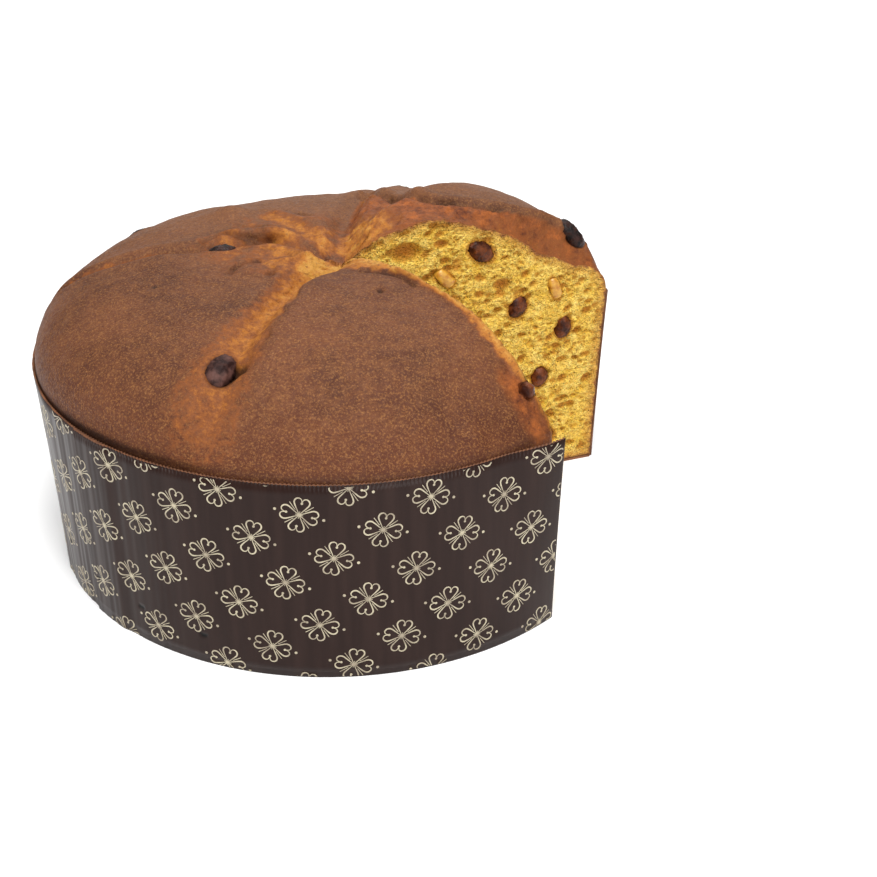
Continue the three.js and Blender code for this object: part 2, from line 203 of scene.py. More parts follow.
@dataclass(frozen=True)
class CaseForm:
    """Shape of the paper case: a low cone that flares at the left and the back."""

    foot_radius: float = 105.0
    rim_radius: float = 102.5
    height: float = 73.0
    paper: float = 1.0
    left_flare: float = 5.0
    left_deg: float = 192.0
    left_width: float = 75.0
    back_flare: float = 6.0
    back_deg: float = 32.0
    back_width: float = 80.0
    flap_flare: float = 5.0
    flap_width: float = 15.0
    foot_pinch: float = 2.5
    pinch_deg: float = 182.0
    pinch_width: float = 24.0
    bow: float = 1.3
    lap_start: float = 219.5
    lap_width: float = 11.0
    lap_step: float = 0.6

    def flap(self, deg: np.ndarray, z: np.ndarray) -> np.ndarray:
        """How far the free corner beside the near cut springs out, in mm."""
        spring = azimuth_bump(deg, Cut.NEAR.value + 2.0, self.flap_width)
        return self.flap_flare * spring * np.clip(z / self.height, 0.0, 1.0) ** self.bow

    def radius(self, deg: np.ndarray, z: np.ndarray) -> np.ndarray:
        """Outer radius of the paper in mm at an azimuth and a height."""
        high = np.clip(z / self.height, 0.0, 1.0) ** self.bow
        rim = (
            self.rim_radius
            + self.left_flare * azimuth_bump(deg, self.left_deg, self.left_width)
            + self.back_flare * azimuth_bump(deg, self.back_deg, self.back_width)
        )
        foot = self.foot_radius - self.foot_pinch * azimuth_bump(deg, self.pinch_deg, self.pinch_width)
        return foot + (rim - foot) * high + self.flap(deg, z)

    def lap(self, deg: np.ndarray) -> np.ndarray:
        """How far the lapped strip stands out, in mm, sharp at its start and sunk at its end."""
        into = (np.asarray(deg, float) - self.lap_start) % 360.0
        start = smoothstep(into, 0.0, 0.15)
        end = 1.0 - smoothstep(into, self.lap_width - 3.0, self.lap_width - 0.2)
        return self.lap_step * start * end


class Cut(Enum):
    """The two cut faces, by the azimuth in degrees at which each leaves the apex."""

    NEAR = -44.0
    FAR = 20.0

    @property
    def side(self) -> float:
        """1 or -1: which way the face looks out of the loaf."""
        return 1.0 if self is Cut.NEAR else -1.0

    def along(self) -> np.ndarray:
        """Unit vector from the apex outwards, in plan."""
        angle = math.radians(self.value)
        return np.array([math.cos(angle), math.sin(angle), 0.0])

    def out(self) -> np.ndarray:
        """Unit vector that points out of the loaf, square to the face."""
        along = self.along()
        return np.array([-along[1], along[0], 0.0]) * self.side


@dataclass(frozen=True)
class Lobe:
    """A stretch of crust between two splits: its azimuths, rise and fullness."""

    start: float
    end: float
    rise: float
    power: float
    shoulder: float


@dataclass(frozen=True)
class LoafForm:
    """Shape of the loaf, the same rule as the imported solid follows."""

    case: CaseForm = CaseForm()
    apex: tuple[float, float] = (2.0, 0.0)
    gap: float = 0.3
    crust_inset: float = 1.6
    inset_deg: float = -118.0
    inset_width: float = 45.0
    centre_rise: float = 32.0
    centre_dip: float = 3.5
    centre_reach: float = 17.0
    lobe_blend: float = 16.0
    lobes: tuple[Lobe, ...] = (
        Lobe(-112, -44, 34, 4.6, 1.1),
        Lobe(-185, -112, 30, 4.0, 0.48),
        Lobe(125, 175, 30, 3.6, 0.47),
        Lobe(85, 125, 30, 3.2, 0.55),
        Lobe(58, 85, 34, 3.6, 0.6),
        Lobe(5, 58, 40, 4.4, 0.6),
    )
    front_split: Split = Split(
        Route(((0, -4), (-10, -18), (-21, -47), (-29, -72), (-38, -96))), 5.5, 7, -1.6, 0.9)
    left_split: Split = Split(
        Route(((-6, 8), (-24, 17), (-42, 11), (-66, 9), (-86, 6), (-101, 4))), 3.6, 4, 1.2, 0.35)
    left_back_split: Split = Split(
        Route(((-5, 12), (-14, 25), (-25, 36), (-34, 46))), 3.2, 6, 0.8, 1.0)
    back_split: Split = Split(
        Route(((3, 8), (3, 31), (5, 50), (9, 68), (14, 84))), 6, 6, 1.5, 0.8)
    torn_lip: Split = Split(
        Route(((9, 66), (17, 50), (26, 36), (35, 28.5), (47, 28.5), (58, 27.8), (68, 28.8), (78, 32.4),
               (88, 36))), 1.2, 2.6, -1.8, 0.5)
    slope_reach: tuple[float, ...] = (38, 50, 62, 69, 77, 91, 98, 104)
    slope_width: tuple[float, ...] = (16, 12, 7, 5, 5, 5, 5, 5)
    slope_fall: tuple[float, ...] = (0, 3.5, 6.8, 9.2, 13.5, 12.3, 6, 0)
    notch_fade: tuple[float, float] = (-25.0, -15.0)
    swellings: tuple[Swelling, ...] = (
        Swelling((49, -87), 1.8, 6),
        Swelling((-41, 45), 3.2, 7),
        Swelling((18, -33), 1.0, 5),
        Swelling((-22, 30), 1.6, 6),
    )

    @property
    def floor(self) -> float:
        """Height of the loaf's underside in mm."""
        return self.case.paper + self.gap

    @property
    def splits(self) -> tuple[Split, ...]:
        """Every groove in the crust."""
        return (self.front_split, self.left_split, self.left_back_split, self.back_split, self.torn_lip)

    def side_radius(self, deg: np.ndarray, z: np.ndarray) -> np.ndarray:
        """Radius of the loaf's side in mm, just inside the paper."""
        case = self.case
        leave = self.crust_inset * azimuth_bump(deg, self.inset_deg, self.inset_width)
        leave = leave * smoothstep(z, case.height - 14.0, case.height)
        return case.radius(deg, z) - case.paper - self.gap - leave - case.flap(deg, z)

    def lobe_shape(self, deg: np.ndarray) -> tuple[np.ndarray, np.ndarray, np.ndarray]:
        """Rise, power and shoulder of the crust at an azimuth, blended where lobes meet."""
        sums = np.zeros((4,) + np.shape(deg))
        for lobe in self.lobes:
            half = (lobe.end - lobe.start) / 2.0
            turn = turn_between(deg, (lobe.start + lobe.end) / 2.0)
            weight = 1.0 - smoothstep(turn, half - self.lobe_blend / 2.0, half + self.lobe_blend / 2.0)
            sums += np.stack([weight, weight * lobe.rise, weight * lobe.power, weight * lobe.shoulder])
        total = np.where(sums[0] > 0.0, sums[0], 1.0)
        shape = sums[1:] / total
        first = self.lobes[0]
        empty = sums[0] <= 0.0
        rise = np.where(empty, first.rise, shape[0])
        power = np.where(empty, first.power, shape[1])
        shoulder = np.where(empty, first.shoulder, shape[2])
        return rise, power, shoulder

    def crust_height(self, x: np.ndarray, y: np.ndarray) -> np.ndarray:
        """Height of the crust above the table in mm at places in plan."""
        deg = np.degrees(np.arctan2(y, x))
        reach = np.hypot(x, y)
        part = np.minimum(reach / self.side_radius(deg, np.full(np.shape(x), self.case.height)), 1.0)
        rise, power, shoulder = self.lobe_shape(deg)
        middle = smoothstep(reach, 4.0, 34.0)
        even = self.centre_rise + (rise - self.centre_rise) * middle
        height = self.case.height + even * (1.0 - part ** power) ** shoulder
        inside = 1.0 - smoothstep(part, 0.93, 1.0)
        for feature in self.splits + self.swellings:
            height = height + feature.relief(x, y) * inside
        to_centre = np.hypot(x - self.apex[0], y - self.apex[1])
        height = height - self.centre_dip * np.exp(-(to_centre / self.centre_reach) ** 2)
        return np.maximum(height - self.torn_fall(x, y), np.minimum(height, self.case.height))

    def beside_cut(self, cut: Cut, x: np.ndarray, y: np.ndarray) -> tuple[np.ndarray, np.ndarray]:
        """Places in plan as distance from the apex along a cut, and depth into the loaf from it."""
        along, out = cut.along(), cut.out()
        from_x, from_y = x - self.apex[0], y - self.apex[1]
        return from_x * along[0] + from_y * along[1], -(from_x * out[0] + from_y * out[1])

    def torn_fall(self, x: np.ndarray, y: np.ndarray) -> np.ndarray:
        """How far in mm the torn slope beside the far cut lies below the crust's own rise."""
        reach, depth = self.beside_cut(Cut.FAR, x, y)
        width = np.interp(reach, self.slope_reach, self.slope_width)
        fall = np.interp(reach, self.slope_reach, self.slope_fall)
        slope = 1.0 - smoothstep(depth / width, 0.0, 1.0)
        return fall * slope * smoothstep(depth, *self.notch_fade)


FORM = LoafForm()


def packed_shift() -> float:
    """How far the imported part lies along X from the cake's own axis, in mm."""
    deg = np.arange(84) * 360.0 / 84
    base = FORM.case.radius(deg, np.zeros(84)) - FORM.case.paper - FORM.gap
    lowest = float((base * np.cos(np.radians(deg))).min())
    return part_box("case_base")[0].x / MM - lowest


SHIFT = packed_shift()


def to_frame(points: np.ndarray) -> np.ndarray:
    """Places in mm round the cake's axis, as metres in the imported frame."""
    return (np.asarray(points, float) + np.array([SHIFT, 0.0, 0.0])) * MM


def from_frame(points: np.ndarray) -> np.ndarray:
    """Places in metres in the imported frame, as mm round the cake's axis."""
    return np.asarray(points, float) / MM - np.array([SHIFT, 0.0, 0.0])


def make_piece(name: str, points: np.ndarray, faces: list, smooth: bool = True) -> bpy.types.Object:
    """A mesh object at the origin with its place in its mesh.

    Args:
        name: The piece's name.
        points: Vertices in mm round the cake's axis.
        faces: Vertex indices of each face, turned outwards.
        smooth: Whether the faces are shaded smooth.

    Returns:
        The object, linked to the scene.
    """
    mesh = bpy.data.meshes.new(name)
    mesh.from_pydata(to_frame(points).tolist(), [], faces)
    mesh.validate()
    mesh.polygons.foreach_set("use_smooth", [smooth] * len(mesh.polygons))
    piece = bpy.data.objects.new(name, mesh)
    bpy.context.scene.collection.objects.link(piece)
    return piece


def set_attribute(piece: bpy.types.Object, name: str, values: np.ndarray) -> None:
    """Stores one number for each vertex, which a material reads by name."""
    attribute = piece.data.attributes.new(name, "FLOAT", "POINT")
    attribute.data.foreach_set("value", np.asarray(values, np.float32))


def face_outwards(piece: bpy.types.Object) -> None:
    """Turns every face of a closed mesh outwards."""
    work = bmesh.new()
    work.from_mesh(piece.data)
    bmesh.ops.recalc_face_normals(work, faces=work.faces)
    work.to_mesh(piece.data)
    work.free()


def dress(piece: bpy.types.Object, finishes: list[bpy.types.Material], kinds: list[int]) -> None:
    """Gives each face of a piece its finish, by the finish's place in the list."""
    for finish in finishes:
        piece.data.materials.append(finish)
    piece.data.polygons.foreach_set("material_index", kinds)


class Shell:
    """A mesh while it is put together: points with their values, faces with their finishes."""

    def __init__(self, names: list[str]) -> None:
        """Starts empty.

        Args:
            names: The name of every value that its points have.
        """
        self.points: list[np.ndarray] = []
        self.values: dict[str, list[np.ndarray]] = {name: [] for name in names}
        self.faces: list[list[int]] = []
        self.kinds: list[int] = []
        self.count = 0

    def place(self, points: np.ndarray, **values: np.ndarray) -> list[int]:
        """Adds points.

        Args:
            points: Their places in mm.
            values: Their values by name, 0 where none are given.

        Returns:
            Their numbers.
        """
        first = self.count
        self.count += len(points)
        self.points.append(points)
        for name, parts in self.values.items():
            parts.append(values.get(name, np.zeros(len(points))))
        return list(range(first, self.count))

    def at(self, numbers: list[int]) -> np.ndarray:
        """The places of some of the points."""
        return np.concatenate(self.points)[numbers]

    def cover(self, faces: list[list[int]], kind: int) -> None:
        """Adds faces that all have one finish."""
        self.faces += faces
        self.kinds += [kind] * len(faces)

    def piece(self, name: str, finishes: list[bpy.types.Material]) -> bpy.types.Object:
        """The dressed object, without the points that no face needs."""
        used = np.zeros(self.count, bool)
        used[[i for face in self.faces for i in face]] = True
        number = (np.cumsum(used) - 1).tolist()
        piece = make_piece(name, np.concatenate(self.points)[used],
                           [[number[i] for i in face] for face in self.faces])
        for value, parts in self.values.items():
            set_attribute(piece, value, np.concatenate(parts)[used])
        dress(piece, finishes, self.kinds)
        face_outwards(piece)
        return piece


def linear(colour: str) -> tuple[float, float, float, float]:
    """An sRGB hex colour as the linear values that a shader socket takes."""
    channels = [int(colour[i:i + 2], 16) / 255.0 for i in (1, 3, 5)]
    curve = [c / 12.92 if c <= 0.04045 else ((c + 0.055) / 1.055) ** 2.4 for c in channels]
    return (curve[0], curve[1], curve[2], 1.0)


class NodeMaker:
    """A node tree with one way to add a node, its settings and its links."""

    tree: bpy.types.NodeTree

    def feed(self, target: bpy.types.NodeSocket, value: object) -> None:
        """Gives an input its value: an output to link, a hex colour or a plain value."""
        if isinstance(value, bpy.types.NodeSocket):
            self.tree.links.new(value, target)
        else:
            target.default_value = linear(value) if isinstance(value, str) else value

    def add(self, kind: str, inputs: dict | None = None, **settings: object) -> bpy.types.Node:
        """Adds a node.

        Args:
            kind: The node's type.
            inputs: What feeds its inputs, by name or index.
            settings: Its own settings, by name.

        Returns:
            The node.
        """
        node = self.tree.nodes.new(kind)
        for key, value in settings.items():
            setattr(node, key, value)
        for key, value in (inputs or {}).items():
            self.feed(node.inputs[key], value)
        return node


class NodeBook(NodeMaker):
    """A material's node tree: patterns with real sizes, laid over one another."""

    def __init__(self, name: str) -> None:
        """Starts an empty material with a Principled shader and an output."""
        self.material = bpy.data.materials.new(name)
        self.material.use_nodes = True
        self.tree = self.material.node_tree
        self.tree.nodes.clear()
        self.shader = self.add("ShaderNodeBsdfPrincipled")
        self.add("ShaderNodeOutputMaterial", {"Surface": self.shader.outputs["BSDF"]})

    def place(self) -> bpy.types.NodeSocket:
        """The place on the object, in metres."""
        return self.add("ShaderNodeTexCoord").outputs["Object"]

    def attribute(self, name: str) -> bpy.types.NodeSocket:
        """A number stored on the mesh."""
        return self.add("ShaderNodeAttribute", attribute_name=name).outputs["Fac"]

    def lumps(self, size: float, detail: float = 3.0, rough: float = 0.5) -> bpy.types.NodeSocket:
        """Soft noise whose lumps have a real size in mm."""
        return self.add("ShaderNodeTexNoise", {
            "Vector": self.place(), "Scale": 1.0 / (size * MM), "Detail": detail, "Roughness": rough,
        }).outputs["Fac"]

    def between(self, value: Feed, low: float, high: float, to_low: float = 0.0,
                to_high: float = 1.0) -> bpy.types.NodeSocket:
        """A value moved from one range to another and held inside it."""
        settings = {0: value, 1: low, 2: high, 3: to_low, 4: to_high}
        return self.add("ShaderNodeMapRange", settings, clamp=True).outputs[0]

    def maths(self, operation: str, first: Feed, second: Feed) -> bpy.types.NodeSocket:
        """One sum on numbers."""
        return self.add("ShaderNodeMath", {0: first, 1: second}, operation=operation).outputs[0]

    def mix(self, share: Feed, first: Feed, second: Feed) -> bpy.types.NodeSocket:
        """Two colours mixed by a share."""
        return self.add("ShaderNodeMix", {0: share, 6: first, 7: second}, data_type="RGBA").outputs[2]

    def cover(self, base: Feed, *layers: tuple[Feed, str]) -> bpy.types.NodeSocket:
        """Lays colours over a base one after another, each by its own share."""
        for share, colour in layers:
            base = self.mix(share, base, colour)
        return base

    def bump(self, height: Feed, distance: float, strength: float,
             under: Feed | None = None) -> bpy.types.NodeSocket:
        """A bump whose height in mm is given by distance."""
        values = {"Height": height, "Distance": distance * MM, "Strength": strength}
        if under is not None:
            values["Normal"] = under
        return self.add("ShaderNodeBump", values).outputs["Normal"]

    def see_into(self, share: float, reach: tuple[float, float, float]) -> None:
        """Lets a share of the light into the surface, by a reach in mm for red, green and blue."""
        self.shader.inputs["Subsurface Weight"].default_value = share
        self.shader.inputs["Subsurface Radius"].default_value = [far * MM for far in reach]

    def finish(self, base: Feed, rough: Feed, relief: Feed | None = None,
               reflectance: float = 0.5) -> bpy.types.Material:
        """Feeds the shader and ends the material.

        Args:
            base: Its colour.
            rough: Its roughness.
            relief: Its bumps, if it has any.
            reflectance: Its specular level.

        Returns:
            The material.
        """
        self.feed(self.shader.inputs["Base Color"], base)
        self.feed(self.shader.inputs["Roughness"], rough)
        self.feed(self.shader.inputs["Specular IOR Level"], reflectance)
        if relief is not None:
            self.feed(self.shader.inputs["Normal"], relief)
        return self.material


@dataclass(frozen=True)
class BakedCrust:
    """Egg-rich crust browned in the oven: satin, mottled, freckled with fine pale grain.

    It opens to golden dough in the splits, where the attributes golden and
    torn say so. By burnt it is nearly black where fruit burnt, and there is
    painted shade in creases, pits, round crust raisins and in the gap at the case.
    By light it is paler towards the back: painted sheen with paler baking. By
    low it is darker and redder low on the dome: painted shade with deeper browning.
    """

    name: str = "baked_crust"
    brown: str = "#633822"
    deep: str = "#4b2717"
    tan: str = "#7b4c2b"
    # painted sheen with paler baking: the crust's colour towards the back
    pale_bake_and_sheen: str = "#7f563a"
    freckle: str = "#9b6a3a"
    amber: str = "#7b4520"
    gold: str = "#a66726"
    pale_gold: str = "#bd8a3f"
    # painted shade with deeper browning, low on the dome
    low_red_and_shade: str = "#4b200d"
    torn_brown: str = "#4f2412"
    torn_orange: str = "#a65c27"
    # nearly black: burnt crust round fruit, and painted shade in creases, pits and the gap at the case
    burnt_and_shade_brown: str = "#20100a"
    patch_size: float = 24.0
    mottle_size: float = 5.0
    freckle_size: float = 0.72
    streak_size: float = 7.0
    ragged_size: float = 3.2
    crumbly_size: float = 1.7

    def material(self) -> bpy.types.Material:
        """The finished material."""
        book = NodeBook(self.name)
        patch = book.between(book.lumps(self.patch_size, 4.0, 0.55), 0.36, 0.64)
        mottle = book.between(book.lumps(self.mottle_size, 5.0, 0.65), 0.42, 0.68, 0.0, 0.5)
        pale = book.between(book.lumps(self.freckle_size, 4.0, 0.8), 0.5, 0.64, 0.0, 0.68)
        dark = book.between(book.lumps(self.freckle_size * 1.7, 4.0, 0.8), 0.52, 0.66, 0.0, 0.75)
        browned = book.cover(
            book.mix(patch, self.deep, self.brown),
            (mottle, self.tan),
            # Painted sheen with paler baking: lighter towards the back, by the attribute light.
            (book.attribute("light"), self.pale_bake_and_sheen),
            # Painted shade with deeper, redder browning low on the dome, by the attribute low.
            (book.attribute("low"), self.low_red_and_shade),
            (pale, self.freckle),
            (dark, self.deep),
        )
        streaks = book.between(book.lumps(self.streak_size, 7.0, 0.8), 0.38, 0.64)
        torn = book.mix(streaks, self.torn_brown, self.torn_orange)
        opened = book.mix(book.between(book.attribute("torn"), 0.1, 0.7, 0.0, 0.95), browned, torn)
        ragged = book.between(book.lumps(self.ragged_size, 6.0, 0.8), 0.32, 0.68, -0.3, 0.3)
        golden = book.maths("ADD", book.attribute("golden"), ragged)
        golden = book.maths("MULTIPLY", golden, book.between(book.attribute("golden"), 0.0, 0.12))
        crumbly = book.between(book.lumps(self.crumbly_size, 5.0, 0.8), 0.53, 0.64, 0.0, 0.65)
        base = book.cover(
            opened,
            (book.between(golden, 0.02, 0.3), self.amber),
            (book.between(golden, 0.3, 0.62), self.gold),
            (book.between(golden, 0.66, 1.0), self.pale_gold),
            (book.maths("MULTIPLY", crumbly, book.between(golden, 0.2, 0.6)), self.torn_brown),
            # Nearly black by burnt: burnt crust round fruit, and painted shade in creases, pits, round
            # crust raisins and in the gap at the case.
            (book.attribute("burnt"), self.burnt_and_shade_brown),
        )
        rough = book.between(book.lumps(2.0, 3.0), 0.3, 0.7, 0.5, 0.68)
        coarse = book.bump(book.lumps(2.4, 4.0, 0.65), 0.6, 0.8)
        skin = book.bump(book.lumps(0.9, 3.0, 0.75), 0.35, 0.9, coarse)
        return book.finish(base, rough, skin, 0.2)


@dataclass(frozen=True)
class AiryCrumb:
    """Butter-yellow crumb: pale cell walls round cells with painted shade, pores with painted shade and
    browner walls, browned towards the crust.
    """

    name: str = "airy_crumb"
    yellow: str = "#eec142"
    light: str = "#fbdc72"
    shade: str = "#cf952a"
    # deepest pores: painted shade with the browner walls of the bubbles
    pore: str = "#b3701d"
    rim_gold: str = "#c58a3a"
    rim_brown: str = "#8a4f22"
    cell_size: float = 1.9
    tiny_size: float = 0.85
    warp_size: float = 2.5
    warp: float = 1.2
    flatten: float = 1.45

    def material(self) -> bpy.types.Material:
        """The finished material."""
        book = NodeBook(self.name)
        warp = book.add("ShaderNodeTexNoise", {
            "Vector": book.place(), "Scale": 1.0 / (self.warp_size * MM)})
        moved = book.add("ShaderNodeVectorMath", {0: warp.outputs["Color"], "Scale": self.warp * MM},
                         operation="SCALE")
        bent = book.add("ShaderNodeVectorMath", {0: book.place(), 1: moved.outputs[0]})
        flat = book.add("ShaderNodeMapping", {
            "Vector": bent.outputs[0], "Scale": (1.0, 1.0, self.flatten)})
        hollows = []
        for size in (self.cell_size, self.tiny_size):
            where = {"Vector": flat.outputs[0], "Scale": 1.0 / (size * MM)}
            cells = book.add("ShaderNodeTexVoronoi", where, feature="DISTANCE_TO_EDGE")
            hollows.append(book.between(cells.outputs["Distance"], 0.03, 0.28))
        web = book.between(book.lumps(5.0, 5.0, 0.62), 0.34, 0.66)
        pore = book.attribute("pore")
        uneven = book.between(book.lumps(2.5), 0.3, 0.7, -0.8, 0.8)
        skin = book.maths("ADD", book.attribute("skin"), uneven)
        base = book.cover(
            book.mix(web, self.yellow, self.light),
            # Painted shade in the cells and pores; the deepest pores also have browner walls.
            (book.maths("MULTIPLY", hollows[0], 0.44), self.shade),
            (book.maths("MULTIPLY", hollows[1], 0.25), self.shade),
            (book.between(pore, 0.2, 0.65, 0.0, 0.8), self.shade),
            (book.between(pore, 0.5, 1.0), self.pore),
            (book.between(skin, 0.8, 5.0, 0.8, 0.0), self.rim_gold),
            (book.between(skin, 0.1, 1.1, 0.9, 0.0), self.rim_brown),
        )
        holes = book.bump(book.maths("SUBTRACT", 1.0, hollows[0]), 0.8, 0.8)
        fine = book.bump(book.maths("SUBTRACT", 1.0, hollows[1]), 0.35, 0.7, holes)
        book.see_into(0.1, (2.0, 1.3, 0.5))
        return book.finish(base, 0.6, fine, 0.3)


@dataclass(frozen=True)
class DriedRaisin:
    """Sultana or raisin: dark, wrinkled and glossy with syrup."""

    name: str = "raisin_skin"
    dark: str = "#33150b"
    red: str = "#6d3717"
    gloss: float = 0.3

    def material(self) -> bpy.types.Material:
        """The finished material."""
        book = NodeBook(self.name)
        patch = book.between(book.lumps(3.0, 3.0), 0.38, 0.66)
        creases = book.bump(book.lumps(0.9, 3.0, 0.6), 0.4, 0.8)
        return book.finish(book.mix(patch, self.dark, self.red), self.gloss, creases, 0.16)


@dataclass(frozen=True)
class CandiedPeel:
    """Candied orange peel: amber and half clear, with a wet sugar gloss."""

    name: str = "candied_peel"
    amber: str = "#a8691a"
    pale: str = "#cf9f3a"

    def material(self) -> bpy.types.Material:
        """The finished material."""
        book = NodeBook(self.name)
        patch = book.between(book.lumps(2.5, 3.0), 0.35, 0.65)
        pith = book.bump(book.lumps(0.9, 3.0), 0.25, 0.5)
        book.see_into(0.08, (3.0, 2.0, 0.6))
        return book.finish(book.mix(patch, self.amber, self.pale), 0.34, pith)


@dataclass(frozen=True)
class CoatedPaper:
    """Dark brown baking paper, printed and greaseproofed: smooth, with soft upright streaks."""

    name: str = "coated_paper"
    brown: str = "#241511"
    # lighter brown of the soft upright streaks
    streak_brown: str = "#33221d"
    # near black: painted shade inside the vents, and the dark line at the lap's edge
    slit: str = "#070403"
    gloss: float = 0.32
    streak_size: float = 1000.0 / 220.0

    def material(self) -> bpy.types.Material:
        """The finished material."""
        book = NodeBook(self.name)
        stretch = book.add("ShaderNodeMapping", {"Vector": book.place(), "Scale": (1.0, 1.0, 0.08)})
        size = {"Vector": stretch.outputs[0], "Scale": 1.0 / (self.streak_size * MM), "Detail": 4.0}
        streak = book.add("ShaderNodeTexNoise", size).outputs["Fac"]
        base = book.cover(
            self.brown,
            # Lighter brown in soft upright streaks.
            (book.between(streak, 0.4, 0.7, 0.0, 0.5), self.streak_brown),
            # Painted shade inside the vents and a dark line along the lap's edge.
            (book.attribute("slit"), self.slit),
        )
        return book.finish(base, self.gloss, book.bump(streak, 0.08, 0.3), 0.15)


@dataclass(frozen=True)
class KraftPaper:
    """Bare kraft paper on the inside and along the cut edges, stained by butter."""

    name: str = "kraft_paper"
    tan: str = "#7a4b2b"
    dark: str = "#58351f"

    def material(self) -> bpy.types.Material:
        """The finished material."""
        book = NodeBook(self.name)
        dark_marks = book.between(book.lumps(6.0, 4.0), 0.35, 0.65)
        fibres = book.bump(book.lumps(0.7, 3.0, 0.6), 0.12, 0.5)
        return book.finish(book.mix(dark_marks, self.tan, self.dark), 0.75, fibres)


@dataclass(frozen=True)
class PrintingInk:
    """Cream ink, printed a little unevenly on the coated paper."""

    name: str = "cream_ink"
    cream: str = "#b8ad92"
    thin: str = "#968974"

    def material(self) -> bpy.types.Material:
        """The finished material."""
        book = NodeBook(self.name)
        cover = book.between(book.lumps(4.0, 3.0), 0.4, 0.6)
        tooth = book.bump(book.lumps(0.5), 0.03, 0.3)
        return book.finish(book.mix(cover, self.cream, self.thin), 0.38, tooth)


@dataclass(frozen=True)
class StudioFloor:
    """Matt white sweep under the cake."""

    name: str = "studio_floor"
    white: str = "#fbfbfb"

    def material(self) -> bpy.types.Material:
        """The finished material."""
        return NodeBook(self.name).finish(self.white, 0.9)


@dataclass(frozen=True)
class Band:
    """A strip along a route where golden dough shows.

    Attributes:
        left: Width in mm on the route's left.
        right: Width in mm on its right.
        left_soft: How softly the left side ends, in mm.
        right_soft: How softly the right side ends, in mm.
        strength: How golden it is at its start.
        fade: How much of that is lost at its end.
        spread: How much wider and softer it gets towards its end, in mm.
    """

    route: Route
    left: float
    right: float
    left_soft: float
    right_soft: float
    strength: float
    fade: float
    spread: float = 0.0

    def share(self, x: np.ndarray, y: np.ndarray, wobble: np.ndarray) -> np.ndarray:
        """How golden each place is, 0 to 1."""
        distance, along, side = self.route.nearest(x, y)
        wider = self.spread * smoothstep(along, 0.35, 0.9)
        distance = (distance + wobble) / (1.0 + wider / self.left)
        soft = np.minimum(self.left_soft + wider, self.left)
        left = 1.0 - smoothstep(distance, self.left - soft, self.left + 0.3)
        right = 1.0 - smoothstep(distance, self.right - self.right_soft, self.right + 0.3)
        ends = 1.0 - smoothstep(along, 0.9, 1.0)
        strength = self.strength * (1.0 - self.fade * along)
        return np.where(side > 0, left, right) * strength * ends


@dataclass(frozen=True)
class Crease:
    """A fine sharp fold: its route, depth, width, and the height of the lip on its left."""

    route: Route
    depth: float
    width: float
    lip: float


@dataclass(frozen=True)
class Pore:
    """An open bubble in a cut face: its place on the face, half sizes, turn and depth."""

    reach: float
    z: float
    wide: float
    high: float
    turn: float
    depth: float

    def fall(self, reach: np.ndarray, z: np.ndarray) -> np.ndarray:
        """How much of the bubble's depth is reached at places on the face, 0 to 1."""
        cos, sin = math.cos(self.turn), math.sin(self.turn)
        across = ((reach - self.reach) * cos + (z - self.z) * sin) / self.wide
        up = ((z - self.z) * cos - (reach - self.reach) * sin) / self.high
        return np.sqrt(np.clip(1.0 - across ** 2 - up ** 2, 0.0, 1.0))


